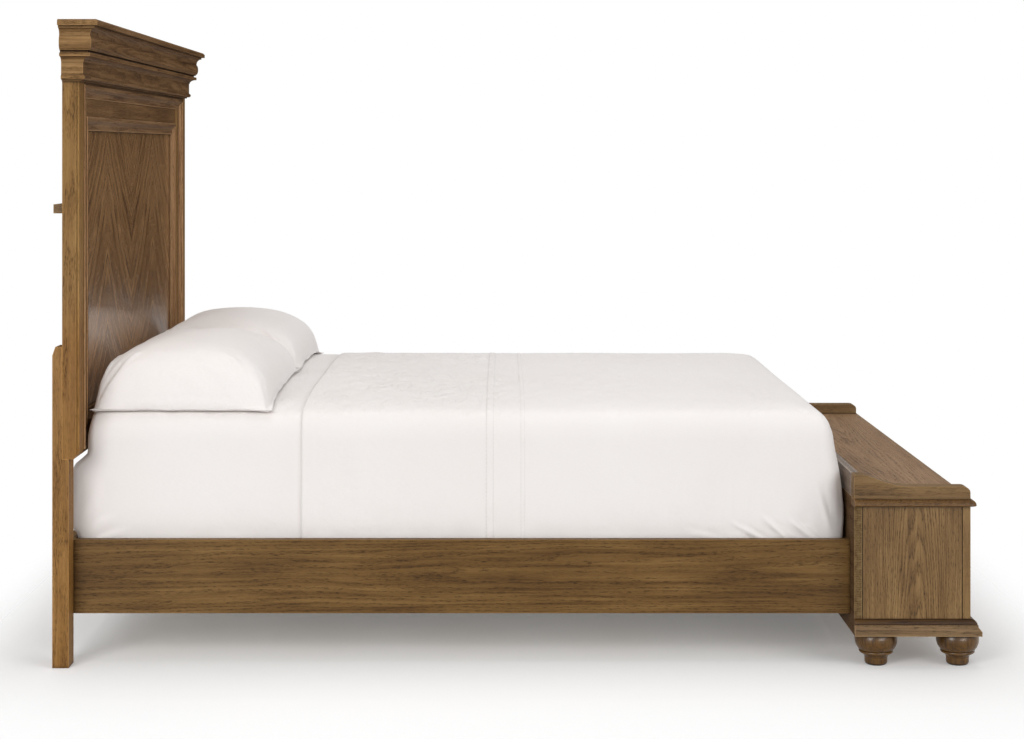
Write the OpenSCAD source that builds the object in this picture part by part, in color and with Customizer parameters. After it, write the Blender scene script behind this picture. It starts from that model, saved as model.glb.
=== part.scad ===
// Queen storage bed: panelled headboard with a cornice, side rails with slats,
// and a blanket bench at the foot whose lid lifts. Millimetres, +Z up.
// +X runs from the headboard to the bench, left is the -Y side, the floor is z = 0.

/* [Mattress] */
// Nominal length of the mattress
mattress_l = 2032; // [1900:1:2130]
// Nominal width of the mattress
mattress_w = 1524; // [1350:1:1930]
// Height of the mattress at its edge
mattress_h = 247; // [200:1:300]
// Height of the box foundation under it
foundation_h = 230; // [180:1:260]
// Crown of the made bed above its edge
crown = 24; // [10:1:40]
// Gap between the mattress and each side rail
side_gap = 8; // [5:1:20]
// Well length beyond the mattress, at the level of the rails
end_gap = 30; // [25:1:60]
// How much smaller than nominal the mattress is made, each way
under_size = 10; // [6:1:16]
// Radius of the mattress's upright corners
corner_r = 32; // [20:1:90]
// Thickness of a bed sheet with its stitching
sheet_t = 1.5; // [1:0.1:3]
// Distance from the headboard's mouldings to the top sheet's hem
hem_back = 573; // [450:1:700]
// How far the sheets are tucked below the rail's top
tuck = 70; // [40:1:100]

/* [Pillows] */
// Length of a pillow across the bed
pillow_l = 700; // [600:1:740]
// Width of a pillow along the bed
pillow_w = 487; // [420:1:520]
// Height of a pillow's crown above its seam
pillow_h = 171; // [120:1:210]
// Space between the two pillows
pillow_gap = 60; // [40:1:120]
// How far a pillow's long sides draw in between its corners
draw_in = 13; // [5:1:25]

/* [Headboard] */
// Full height of the headboard
head_h = 1700; // [1500:1:1900]
// Thickness of the headboard's frame
body_t = 45; // [42:1:60]
// Height of the headboard body's lower edge
body_bottom = 548; // [480:1:600]
// Width of the flat face of a stile
stile_flat = 55; // [40:1:80]
// Width of the outer moulding
outer_mould_w = 36; // [28:1:50]
// Width of the sunk field between the mouldings
field_w = 48; // [30:1:80]
// Width of the moulding round the panel
inner_mould_w = 38; // [28:1:50]
// Depth of the sunk field
field_sink = 11; // [8:1:12]
// Depth of the panel's face
panel_sink = 25; // [23:1:26]
// Thickness of the panel's core
panel_t = 11; // [8:1:12]
// Thickness of the veneer leaves
veneer_t = 1; // [0.6:0.1:2]
// Number of veneer leaves
leaves = 4; // [2:1:8]
// How deep panels and tenons are housed in the frame
housing = 8; // [6:1:12]
// Height of the bottom rail
bottom_rail_h = 72; // [60:1:90]

/* [Cornice] */
// Overhang of the top board
cap_over = 60; // [58:1:80]
// Thickness of the top board
cap_t = 16; // [12:1:22]
// Height of the crown moulding under the top board
crown_h = 70; // [60:1:90]
// How far the crown stands out
crown_out = 50; // [46:1:58]
// Height of the lip and cove under the crown
lip_h = 23; // [18:1:30]
// How far the lip stands out
lip_out = 35; // [31:1:40]
// Height of the frieze board
frieze_h = 34; // [25:1:50]
// Thickness of the frieze board
frieze_t = 12.5; // [8:0.5:16]
// Height of the astragal under the frieze
astragal_h = 17; // [14:1:24]

/* [Headboard legs] */
// Depth of a leg
leg_d = 43; // [38:1:60]
// Width of a leg
leg_w = 60; // [50:1:80]
// Thickness of the leg where it laps the headboard's back
lap_t = 26; // [20:1:34]
// Height of the lap above the headboard's lower edge
lap_h = 295; // [200:1:400]
// Radius of the lap bolts
bolt_r = 4; // [3:0.5:6]
// Thickness of the cross rail between the legs
cross_t = 28; // [22:1:36]

/* [Rails] */
// Thickness of the side rails
rail_t = 25; // [20:1:32]
// Height of the side rails
rail_h = 195; // [150:1:220]
// Height of a rail's lower edge above the floor
rail_z = 130; // [110:1:160]
// Width of the slat ledgers
ledger_w = 22; // [18:1:30]
// Height of the slat ledgers
ledger_h = 28; // [20:1:35]
// Number of slats
slats = 5; // [3:1:9]
// Width of a slat
slat_w = 90; // [60:1:140]
// Thickness of a slat
slat_t = 20; // [16:1:25]
// Side of a centre leg
centre_leg = 40; // [30:1:60]

/* [Bench] */
// Depth of the bench's case
bench_d = 305; // [260:1:420]
// Height of the bench's seat
seat_h = 443; // [410:1:500]
// Thickness of the case boards
board_t = 20; // [18:1:25]
// Thickness of the lid
lid_t = 19; // [16:1:24]
// How far the moulded nose stands out from the case
nose = 13; // [8:1:20]
// Height of the bun feet
foot_h = 86; // [60:1:110]
// Largest radius of a bun foot
foot_r = 56; // [45:1:65]
// Height of the plinth
plinth_h = 28; // [20:1:40]
// Width of the plinth's members
plinth_w = 38; // [30:1:50]
// Plinth's projection at the front
plinth_front = 28; // [20:1:32]
// Plinth's projection at the ends
plinth_side = 14; // [8:1:20]
// Height of the moulding above the plinth
base_h = 16; // [14:1:28]
// Width of the front frame's members
frame_w = 62; // [50:1:80]
// Thickness of the bottom board
bottom_t = 12; // [9:1:18]
// Side of the corner cleats in the case
cleat = 25; // [18:1:35]
// Thickness of the front panels
front_panel_t = 8; // [6:1:9]

/* [Bench top] */
// Thickness of the raised ends
end_t = 44; // [30:1:60]
// Height of a raised end above the seat
end_h = 33; // [25:1:60]
// Height of the gallery and of the ends' back corners above the seat
gallery_h = 64; // [55:1:90]
// Gap round the lid
lid_gap = 2; // [1:0.5:4]
// Width of the lid's battens
batten_w = 60; // [40:1:80]
// Thickness of the lid's battens
batten_t = 15; // [12:1:20]

/* [Hinges] */
// Number of lid hinges
hinges = 3; // [2:1:5]
// Length of a hinge
hinge_l = 72; // [50:1:100]
// Radius of a hinge pin
pin_r = 2.5; // [2:0.5:4]
// Wall of a hinge knuckle
knuckle_wall = 2.5; // [2:0.5:4]
// Thickness of a hinge leaf
leaf_t = 2; // [1.5:0.5:3]
// Width of a hinge leaf
leaf_w = 28; // [20:1:36]

/* [Hidden] */
$fn = 48;

// Clearances
seat_clear = 0.3;
fit_clear = 0.2;
run_clear = 0.06;
soft_clear = 0.5;
hole_clear = 0.2;

// Places along X
well_l = mattress_l + end_gap;
foot_out = 5;
overall_l = leg_d + well_l + bench_d + plinth_front + foot_out;
leg_back = -overall_l / 2;
leg_front = leg_back + leg_d;
body_back = leg_back + lap_t;
body_front = body_back + body_t;
field_x = body_front - field_sink;
panel_x = body_front - panel_sink;
core_x = panel_x - veneer_t;
bench_back = leg_front + well_l;
bench_front = bench_back + bench_d;

// Places across Y
rail_in = mattress_w / 2 + side_gap;
rail_out = rail_in + rail_t;
half_w = rail_out + leg_w;
field_s = stile_flat + outer_mould_w;
frame_s = field_s + field_w;
panel_s = frame_s + inner_mould_w;

// Heights
rail_top = rail_z + rail_h;
ledger_z = rail_z + 2;
slat_z = ledger_z + ledger_h;
slat_top = slat_z + slat_t;
foundation_top = slat_top + foundation_h;
edge_top = foundation_top + mattress_h;
cap_z = head_h - cap_t;
crown_z = cap_z - crown_h;
lip_z = crown_z - lip_h;
frieze_z = lip_z - frieze_h;
astragal_z = frieze_z - astragal_h;
mould_top = astragal_z - 5;
top_rail_z = mould_top - outer_mould_w - field_w;
bottom_rail_top = body_bottom + bottom_rail_h;
lid_z = seat_h - lid_t;
case_z = foot_h + plinth_h;
case_top = lid_z - seat_clear;
floor_top = case_z + bottom_t;

function arc(cx, cy, rx, ry, a0, a1, n) = [
    for (i = [0 : n])
        let (a = a0 + (a1 - a0) * i / n)
        [cx + rx * cos(a), cy + ry * sin(a)]
];

function bezier(p, n) = [
    for (i = [0 : n])
        let (t = i / n, u = 1 - t)
        u * u * u * p[0] + 3 * u * u * t * p[1] + 3 * u * t * t * p[2] + t * t * t * p[3]
];

// Profiles of the headboard's mouldings: across the face, then out from the field or panel
outer_profile = concat(
    [[0, 0]],
    arc(4, field_sink, 4, 4, 180, 90, 4),
    arc(8, field_sink - 2, 6, 6, 90, 20, 4),
    arc(outer_mould_w - 4, field_sink + 3, outer_mould_w - 17, field_sink + 1, 215, 265, 5),
    [[outer_mould_w, 2], [outer_mould_w, 0]]
);
inner_rise = panel_sink - field_sink + 3.5;
inner_profile = concat(
    [[0, 0]],
    arc(3, inner_rise - 3, 3, 3, 180, 90, 4),
    arc(9, inner_rise - 6, 6, 6, 90, 20, 4),
    arc(inner_mould_w - 5, inner_rise - 1, inner_mould_w - 19, inner_rise - 7, 205, 265, 5),
    [[inner_mould_w - 3, inner_rise - 10.5], [inner_mould_w, inner_rise - 11.5], [inner_mould_w, 0]]
);

// Profiles of the cornice: out from the headboard's face, then up from the course's foot
crown_profile = concat(
    [[0, 0], [crown_out - 23, 0], [crown_out - 23, 5], [crown_out - 17, 7]],
    arc(crown_out - 16, (crown_h - 16) / 2, 6, (crown_h - 36) / 2, 270, 450, 10),
    arc(crown_out - 1, crown_h - 26, 14, 20, 180, 90, 7),
    [[crown_out, crown_h - 6], [crown_out, crown_h], [0, crown_h]]
);
lip_profile = concat(
    [[0, 0]],
    arc(lip_out - 1, 0, 20, lip_h - 9, 180, 90, 8),
    [[lip_out, lip_h - 9], [lip_out, lip_h], [0, lip_h]]
);
astragal_profile = concat(
    [[0, 0], [6, 0], [6, astragal_h - 13]],
    arc(11, astragal_h - 6.5, 6.5, 6.5, 270, 450, 10),
    [[0, astragal_h]]
);
base_profile = concat([[0, 0], [17, 0]], arc(0, 0, 17, base_h, 5, 85, 8), [[0, base_h]]);
plinth_profile = [
    [0, 0], [plinth_front, 0], [plinth_front, 12],
    [plinth_front - 9, plinth_h - 5], [plinth_front - 9, plinth_h], [0, plinth_h]
];

// The nose of the bench top: out from the case, then up from the underside
nose_profile = concat(
    [[nose * 0.3, 0], [nose * 0.85, 2.5], [nose, 4.5]],
    arc(0, 6, nose, lid_t - 6, 0, 80, 7),
    [[0, lid_t]]
);

// One straight length of moulding with its ends square or mitred: k 0 lies along the lower
// edge of a rectangle in the YZ plane, k 1 up its +Y edge, 2 along the top and 3 down
module rim_stick(k, x, y0, y1, z0, z1, profile, w, h, start = 1, end = 1) {
    run = k % 2 == 0 ? y1 - y0 : z1 - z0;
    corner_y = k == 0 || k == 3 ? y0 : y1;
    corner_z = k < 2 ? z0 : z1;
    translate([x, corner_y, corner_z])
        rotate([90 * k, 0, 0])
            rotate([90, 0, 90])
                intersection() {
                    rotate([90, 0, 90])
                        linear_extrude(run)
                            polygon([for (q = profile) q]);
                    translate([0, 0, -1])
                        linear_extrude(h + 2)
                            polygon([[0, 0], [run, 0], [run - w * end, w], [w * start, w]]);
                }
}

// A moulding course round the front and the two ends, mitred at the front corners
module course(profile, back, front, half, out_x, out_y, z, h) {
    end_face = [for (q = profile) [half + q.x * out_y / out_x, q.y]];
    translate([0, 0, z])
        difference() {
            intersection() {
                translate([0, half + out_y, 0])
                    rotate([90, 0, 0])
                        linear_extrude(2 * (half + out_y))
                            polygon(concat(
                                [[back, 0]],
                                [for (q = profile) [front + q.x, q.y]],
                                [[back, h]]
                            ));
                translate([back, 0, 0])
                    rotate([90, 0, 90])
                        linear_extrude(front + out_x - back)
                            polygon(concat(
                                end_face,
                                flipped([[for (q = end_face) [-q.x, q.y]]])[0]
                            ));
            }
            block([back - 1, -half, -1], [front, half, h + 1]);
        }
}

// A box given by its two corners
module block(low, high) {
    translate(low)
        cube(high - low);
}

// A round bar along X, from x0 to x1
module bar_x(x0, x1, y, z, r) {
    translate([x0, y, z])
        rotate([0, 90, 0])
            cylinder(h = x1 - x0, r = r);
}

// A round bar along Y, from y0 to y1
module bar_y(y0, y1, x, z, r) {
    translate([x, y0, z])
        rotate([-90, 0, 0])
            cylinder(h = y1 - y0, r = r);
}

module left_side() {
    mirror([0, 1, 0])
        children();
}

// Headboard
tenon_back = core_x - panel_t;
tenon_front = panel_x;
bolt_heights = [for (i = [0 : 2]) body_bottom + lap_h * (0.2 + 0.3 * i)];
bolt_y = half_w - leg_w / 2;
bolt_tip = body_front - 12;

// Plan of the right stile; the +Y face carries a quirk and a bead at the front corner
stile_plan = [
    [body_back, half_w], [body_back, half_w - frame_s],
    [tenon_back, half_w - frame_s], [tenon_back, half_w - frame_s + housing],
    [panel_x, half_w - frame_s + housing], [panel_x, half_w - frame_s],
    [field_x, half_w - frame_s], [field_x, half_w - stile_flat],
    [body_front, half_w - stile_flat], [body_front, half_w - 1.5],
    [body_front - 1.5, half_w], [body_front - 4.5, half_w],
    [body_front - 6, half_w - 2], [body_front - 7.5, half_w]
];

module foot_chamfer() {
    translate([body_front, half_w + 1, body_bottom])
        rotate([90, 0, 0])
            linear_extrude(2 * half_w + 2)
                polygon([[-15, 0], [1, 20 * 16 / 15], [1, -1], [-15, -1]]);
}

module headboard_stile() {
    difference() {
        translate([0, 0, body_bottom])
            linear_extrude(cap_z - body_bottom)
                polygon(stile_plan);
        foot_chamfer();
        for (z = bolt_heights)
            bar_x(body_back - 1, bolt_tip, bolt_y, z, bolt_r);
    }
}

module headboard_stile_right() {
    color("#7a5c3c")
        headboard_stile();
}

module headboard_stile_left() {
    color("#7a5c3c")
        left_side()
            headboard_stile();
}

module headboard_top_rail() {
    reach = half_w - frame_s;
    header = half_w - stile_flat;
    color("#7a5c3c")
        difference() {
            union() {
                block([body_back, -reach, top_rail_z], [field_x, reach, cap_z]);
                block([field_x, -header, mould_top], [body_front, header, cap_z]);
                block(
                    [tenon_back, -reach - housing, top_rail_z + housing],
                    [tenon_front, reach + housing, cap_z - housing]
                );
            }
            block(
                [tenon_back, -reach - housing - 1, top_rail_z - 1],
                [panel_x, reach + housing + 1, top_rail_z + housing]
            );
        }
}

module headboard_bottom_rail() {
    reach = half_w - frame_s;
    color("#7a5c3c")
        difference() {
            union() {
                block([body_back, -reach, body_bottom], [field_x, reach, bottom_rail_top]);
                block(
                    [tenon_back, -reach - housing, body_bottom + housing],
                    [tenon_front, reach + housing, bottom_rail_top - housing]
                );
            }
            foot_chamfer();
            block(
                [tenon_back, -reach - housing - 1, bottom_rail_top - housing],
                [panel_x, reach + housing + 1, bottom_rail_top + 1]
            );
        }
}

module headboard_panel() {
    reach = half_w - frame_s + housing - fit_clear;
    color("#6f5335")
        block(
            [tenon_back, -reach, bottom_rail_top - housing + fit_clear],
            [core_x, reach, top_rail_z + housing - fit_clear]
        );
}

module panel_veneer() {
    reach = half_w - frame_s + housing - fit_clear;
    leaf = 2 * reach / leaves;
    color("#80613d")
        for (i = [0 : leaves - 1])
            block(
                [core_x, -reach + leaf * i, bottom_rail_top - housing + fit_clear],
                [panel_x, -reach + leaf * (i + 1), top_rail_z + housing - fit_clear]
            );
}

module outer_moulding() {
    y = half_w - stile_flat;
    color("#8a6a45")
        for (k = [1 : 3])
            rim_stick(
                k, field_x, -y, y, body_bottom + 20, mould_top, outer_profile, outer_mould_w,
                field_sink + 5, start = k == 1 ? 0 : 1, end = k == 3 ? 0 : 1
            );
}

module panel_moulding() {
    y = half_w - frame_s;
    color("#8a6a45")
        for (k = [0 : 3])
            rim_stick(
                k, panel_x, -y, y, bottom_rail_top, top_rail_z, inner_profile, inner_mould_w,
                inner_rise
            );
}

module headboard_back_batten() {
    batten_z = 1193;
    color("#6f5335")
        block(
            [body_back - lap_t, -half_w + 14, batten_z],
            [body_back, half_w - 14, batten_z + 24]
        );
}

// The top board is chamfered on its front and end edges
module cornice_cap() {
    front = body_front + cap_over;
    side = half_w + cap_over;
    bevel = 5;
    color("#7a5c3c")
        intersection() {
            translate([0, side, cap_z])
                rotate([90, 0, 0])
                    linear_extrude(2 * side)
                        polygon([
                            [body_back, 0], [front, 0], [front, cap_t - bevel],
                            [front - bevel, cap_t], [body_back, cap_t]
                        ]);
            translate([body_back, 0, cap_z])
                rotate([90, 0, 90])
                    linear_extrude(front - body_back)
                        polygon([
                            [-side, 0], [side, 0], [side, cap_t - bevel],
                            [side - bevel, cap_t], [-side + bevel, cap_t],
                            [-side, cap_t - bevel]
                        ]);
        }
}

module cornice_crown() {
    color("#7a5c3c")
        course(
            crown_profile, body_back, body_front, half_w, crown_out, crown_out, crown_z, crown_h
        );
}

module cornice_lip() {
    color("#7a5c3c")
        course(lip_profile, body_back, body_front, half_w, lip_out, lip_out, lip_z, lip_h);
}

module frieze_board() {
    t = frieze_t;
    profile = [[0, 0], [t, 0], [t, frieze_h], [0, frieze_h]];
    color("#7a5c3c")
        course(profile, body_back, body_front, half_w, t, t, frieze_z, frieze_h);
}

module astragal() {
    t = 17.5;
    color("#8a6a45")
        course(astragal_profile, body_back, body_front, half_w, t, t, astragal_z, astragal_h);
}

// Headboard legs
mortise_d = 25;
tenon_t = 12;
tenon_inset = 25;
cross_back = leg_front - cross_t;
tenon_x = cross_back + (cross_t - tenon_t) / 2;
head_r = bolt_r + 5;
head_h_bolt = 5;

module headboard_leg() {
    top = body_bottom + lap_h;
    difference() {
        translate([0, half_w, 0])
            rotate([90, 0, 0])
                linear_extrude(leg_w)
                    polygon([
                        [leg_back, 0], [leg_front, 0], [leg_front, body_bottom],
                        [body_back, body_bottom], [body_back, top], [leg_back + 8, top],
                        [leg_back, top - 23]
                    ]);
        for (z = bolt_heights) {
            bar_x(leg_back + 1, body_back + 1, bolt_y, z, bolt_r + hole_clear);
            bar_x(leg_back - 1, leg_back + 7, bolt_y, z, head_r + hole_clear);
        }
        block(
            [tenon_x - fit_clear, rail_out - 1, rail_z + tenon_inset - fit_clear],
            [tenon_x + tenon_t + fit_clear, rail_out + mortise_d, rail_top - tenon_inset + fit_clear]
        );
    }
}

module headboard_leg_right() {
    color("#9a7a50")
        headboard_leg();
}

module headboard_leg_left() {
    color("#9a7a50")
        left_side()
            headboard_leg();
}

module headboard_cross_rail() {
    tenon_y = rail_out + mortise_d - 1;
    color("#9a7a50")
        difference() {
            union() {
                block([cross_back, -rail_out, rail_z], [leg_front, rail_out, rail_top]);
                block(
                    [tenon_x, -tenon_y, rail_z + tenon_inset],
                    [tenon_x + tenon_t, tenon_y, rail_top - tenon_inset]
                );
            }
            for (m = [0, 1])
                mirror([0, m, 0])
                    post_bolt_holes(leg_front, 1, rail_bolt_r);
        }
}

module leg_bolts() {
    head_x = leg_back + 7;
    color("silver")
        for (m = [0, 1])
            mirror([0, m, 0])
                for (z = bolt_heights) {
                    bar_x(head_x - head_h_bolt, head_x, bolt_y, z, head_r);
                    bar_x(head_x - 1, bolt_tip, bolt_y, z, bolt_r);
                }
}

// Rails and slats
bracket_w = 50;
bracket_h = 110;
bracket_t = 3;
bracket_z = slat_top + 5;
rail_bolt_r = 3;
rail_bolt_head = 6;

module side_rail() {
    difference() {
        block([leg_front, rail_in, rail_z], [bench_back, rail_out, rail_top]);
        rail_bolt_holes(rail_bolt_r);
    }
}

module side_rail_right() {
    color("#86663f")
        side_rail();
}

module side_rail_left() {
    color("#86663f")
        left_side()
            side_rail();
}

module slat_ledgers() {
    color("#c9a877")
        difference() {
            for (m = [0, 1])
                mirror([0, m, 0])
                    block(
                        [leg_front + 6, rail_in - ledger_w, ledger_z],
                        [bench_back - 6, rail_in, ledger_z + ledger_h]
                    );
            slat_screw_holes(slat_screw_r, slat_z - slat_screw_bite, slat_z + 1);
        }
}

// Places of the two bolts through a bracket's leaf, measured from the inside corner
function bracket_holes() = [for (f = [0.25, 0.75]) bracket_z + bracket_h * f];

// Holes that enter the right rail's inner face
module rail_bolt_holes(r) {
    for (x = [leg_front + bracket_w * 0.6, bench_back - bracket_w * 0.6])
        for (z = bracket_holes())
            bar_y(rail_in - 1, rail_in + rail_t * 0.7, x, z, r);
}

// A steel angle in each corner of the well ties the rail to the headboard or the bench
module rail_bracket(x, way) {
    low = min(x, x + way * bracket_w);
    thin = min(x, x + way * bracket_t);
    y = rail_in - bracket_w;
    difference() {
        union() {
            block(
                [low, rail_in - bracket_t, bracket_z],
                [low + bracket_w, rail_in, bracket_z + bracket_h]
            );
            block([thin, y, bracket_z], [thin + bracket_t, rail_in, bracket_z + bracket_h]);
        }
        for (z = bracket_holes()) {
            bar_y(rail_in - 9, rail_in + 1, x + way * bracket_w * 0.6, z, rail_bolt_r + hole_clear);
            bar_x(x - 9, x + 9, y + bracket_w * 0.4, z, rail_bolt_r + hole_clear);
        }
    }
}

module rail_brackets() {
    color("dimgray")
        for (m = [0, 1])
            mirror([0, m, 0]) {
                rail_bracket(leg_front, 1);
                rail_bracket(bench_back, -1);
            }
}

// The bolts through the leaf that lies on the headboard or the bench; their length into it
post_bolt_l = 16;

module post_bolt_holes(x, way, r) {
    y = rail_in - bracket_w * 0.6;
    for (z = bracket_holes())
        bar_x(min(x, x - way * post_bolt_l), max(x, x - way * post_bolt_l), y, z, r);
}

module rail_bolts() {
    y = rail_in - bracket_w * 0.6;
    color("silver")
        for (m = [0, 1])
            mirror([0, m, 0])
                for (z = bracket_holes()) {
                    for (x = [leg_front + bracket_w * 0.6, bench_back - bracket_w * 0.6]) {
                        bar_y(rail_in - bracket_t - 3, rail_in - bracket_t, x, z, rail_bolt_head);
                        bar_y(rail_in - bracket_t - 1, rail_in + rail_t * 0.7, x, z, rail_bolt_r);
                    }
                    bar_x(leg_front + bracket_t, leg_front + bracket_t + 3, y, z, rail_bolt_head);
                    bar_x(leg_front - post_bolt_l, leg_front + bracket_t + 1, y, z, rail_bolt_r);
                    bar_x(bench_back - bracket_t - 3, bench_back - bracket_t, y, z, rail_bolt_head);
                    bar_x(bench_back - bracket_t - 1, bench_back + post_bolt_l, y, z, rail_bolt_r);
                }
}

function slat_x(i) = leg_front + well_l * (i + 0.5) / slats;

slat_screw_r = 2.5;
slat_screw_bite = 15;

module slat_screw_holes(r, z0, z1) {
    for (i = [0 : slats - 1])
        for (m = [-1, 1])
            for (f = [-0.25, 0.25])
                translate([slat_x(i) + slat_w * f, m * (rail_in - ledger_w / 2), z0])
                    cylinder(h = z1 - z0, r = r, $fn = 24);
}

module bed_slats() {
    reach = rail_in - 1;
    color("#d6ba8a")
        difference() {
            for (i = [0 : slats - 1])
                block(
                    [slat_x(i) - slat_w / 2, -reach, slat_z],
                    [slat_x(i) + slat_w / 2, reach, slat_top]
                );
            slat_screw_holes(slat_screw_r + hole_clear, slat_z - 1, slat_top + 1);
        }
}

module slat_screws() {
    color("silver")
        slat_screw_holes(slat_screw_r, slat_z - slat_screw_bite, slat_top - 0.5);
}

glide_h = 6;

// Every second slat is carried in the middle by a leg on a glide
module centre_leg_places() {
    for (i = [0 : 2 : slats - 1])
        translate([slat_x(i), 0, 0])
            children();
}

module centre_legs() {
    side = centre_leg / 2;
    color("#d6ba8a")
        centre_leg_places()
            block([-side, -side, glide_h], [side, side, slat_z]);
}

module centre_leg_glides() {
    color("#2b2b2b")
        centre_leg_places()
            cylinder(h = glide_h, r1 = centre_leg * 0.4, r2 = centre_leg * 0.45);
}

// Bench case
frame_back = bench_front - board_t;
groove_d = 6;
groove_x = bench_front - board_t / 2 - front_panel_t / 2;
rail_reach = half_w - frame_w;
top_frame_z = case_top - frame_w;
bottom_frame_top = case_z + base_h + frame_w - 20;
back_inner = bench_back + board_t;

module panel_groove(y0, y1, z0, z1) {
    block([groove_x, y0, z0], [groove_x + front_panel_t, y1, z1]);
}

module bench_front_stiles() {
    color("#a3835a")
        for (m = [0, 1])
            mirror([0, m, 0])
                difference() {
                    block([frame_back, rail_reach, case_z], [bench_front, half_w, case_top]);
                    panel_groove(
                        rail_reach - 1, rail_reach + groove_d,
                        bottom_frame_top - groove_d, top_frame_z + groove_d
                    );
                }
}

module bench_front_top_rail() {
    color("#a3835a")
        difference() {
            block([frame_back, -rail_reach, top_frame_z], [bench_front, rail_reach, case_top]);
            panel_groove(-rail_reach - 1, rail_reach + 1, top_frame_z - 1, top_frame_z + groove_d);
        }
}

module bench_front_bottom_rail() {
    color("#a3835a")
        difference() {
            block([frame_back, -rail_reach, case_z], [bench_front, rail_reach, bottom_frame_top]);
            panel_groove(
                -rail_reach - 1, rail_reach + 1, bottom_frame_top - groove_d, bottom_frame_top + 1
            );
        }
}

module bench_front_muntin() {
    side = frame_w / 2;
    color("#a3835a")
        difference() {
            block([frame_back, -side, bottom_frame_top], [bench_front, side, top_frame_z]);
            for (m = [-1, 1])
                translate([0, m * side, 0])
                    panel_groove(-groove_d, groove_d, bottom_frame_top - 1, top_frame_z + 1);
        }
}

module bench_front_panels() {
    deep = groove_d - 1;
    color("#b08f63")
        for (m = [0, 1])
            mirror([0, m, 0])
                panel_groove(
                    frame_w / 2 - deep, rail_reach + deep,
                    bottom_frame_top - deep, top_frame_z + deep
                );
}

front_mould_w = 14;

module bench_front_moulding() {
    face = groove_x + front_panel_t;
    rise = bench_front - face + 2;
    profile = concat(
        [[0, 0]],
        arc(2.5, rise - 2.5, 2.5, 2.5, 180, 90, 3),
        arc(front_mould_w, rise, front_mould_w - 4, rise - 1, 180, 270, 5),
        [[front_mould_w, 0]]
    );
    color("#a3835a")
        for (m = [0, 1])
            for (k = [0 : 3])
                mirror([0, m, 0])
                    rim_stick(
                        k, face, frame_w / 2, rail_reach, bottom_frame_top, top_frame_z, profile,
                        front_mould_w, rise
                    );
}

// The end panels' upright edges are bevelled, which leaves a fine groove at each joint
module bench_end_panel() {
    bevel = 2;
    translate([0, 0, case_z])
        linear_extrude(case_top - case_z)
            polygon([
                [back_inner, half_w - board_t], [back_inner, half_w - bevel],
                [back_inner + bevel, half_w], [frame_back - bevel, half_w],
                [frame_back, half_w - bevel], [frame_back, half_w - board_t]
            ]);
}

module bench_end_panel_right() {
    color("#a3835a")
        bench_end_panel();
}

module bench_end_panel_left() {
    color("#a3835a")
        left_side()
            bench_end_panel();
}

module bench_back_panel() {
    color("#a3835a")
        difference() {
            union() {
                block([bench_back, -half_w, foot_h], [back_inner, half_w, case_top]);
                block(
                    [bench_back, -half_w + end_t, case_top - 1],
                    [back_inner, half_w - end_t, seat_h]
                );
            }
            for (m = [0, 1])
                mirror([0, m, 0])
                    post_bolt_holes(bench_back, -1, rail_bolt_r);
        }
}

module bench_bottom() {
    side = half_w - board_t;
    color("#b99a6c")
        block([back_inner, -side, case_z], [frame_back, side, floor_top]);
}

module bench_corner_cleats() {
    y = half_w - board_t;
    color("#b99a6c")
        for (m = [0, 1])
            mirror([0, m, 0])
                for (x = [back_inner, frame_back - cleat])
                    block([x, y - cleat, floor_top], [x + cleat, y, case_top - 12]);
}

module base_moulding() {
    color("#a3835a")
        course(base_profile, bench_back, bench_front, half_w, 17, 8, case_z, base_h);
}

// The plinth's members pass under the case; the back panel closes the frame behind
module plinth() {
    inner = half_w + plinth_side - plinth_w;
    front_inner = bench_front + plinth_front - plinth_w;
    color("#a3835a") {
        course(
            plinth_profile, bench_back, bench_front, half_w,
            plinth_front, plinth_side, foot_h, plinth_h
        );
        block([front_inner, -half_w, foot_h], [bench_front, half_w, case_z]);
        for (m = [0, 1])
            mirror([0, m, 0])
                block([back_inner, inner, foot_h], [front_inner, half_w, case_z]);
    }
}

// Bun feet
foot_inset = 50;
foot_y = half_w - foot_inset;
front_foot_x = bench_front + plinth_front + foot_out - foot_r;
back_foot_x = bench_back + 66;
block_side = 90;
block_x = bench_front + plinth_front - plinth_w;
foot_bolt_r = 4;
foot_bolt_in = foot_h * 0.45;

function foot_places() = [[front_foot_x, block_x - block_side], [back_foot_x, back_inner]];

module foot_blocks() {
    y = half_w + plinth_side - plinth_w;
    color("#b99a6c")
        for (m = [0, 1])
            mirror([0, m, 0])
                for (p = foot_places())
                    difference() {
                        block([p[1], y - block_side, foot_h], [p[1] + block_side, y, case_z]);
                        translate([p[0], foot_y, foot_h - 1])
                            cylinder(h = plinth_h + 2, r = foot_bolt_r);
                    }
}

foot_quirk = foot_h * 0.45;
foot_mid = foot_h * 0.78;
ball_drop = (foot_mid - foot_quirk) / 0.83;
foot_profile = concat(
    [[0, 0], [foot_r - 31, 0], [foot_r - 28, 2], [foot_r - 26, 6], [foot_r - 26, foot_quirk - 20.5]],
    arc(foot_r - 12, foot_quirk - 20, 13.5, 11, 180, 110, 5),
    arc(foot_r - 16, foot_quirk - 4, 5, 4.5, 310, 420, 6),
    [[foot_r - 15, foot_quirk + 0.5]],
    arc(foot_r - 27, foot_mid, 27, ball_drop, 304, 360, 9),
    arc(foot_r - 27, foot_mid, 27, (foot_h - foot_mid) / 0.54, 9, 30, 4),
    [[foot_r - 4, foot_h], [0, foot_h]]
);

module bun_foot(x, side) {
    color("#8c6c46")
        translate([x, side * foot_y, 0])
            difference() {
                rotate_extrude($fn = 96)
                    polygon(foot_profile);
                translate([0, 0, foot_h - foot_bolt_in])
                    cylinder(h = foot_bolt_in + 1, r = foot_bolt_r);
            }
}

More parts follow.
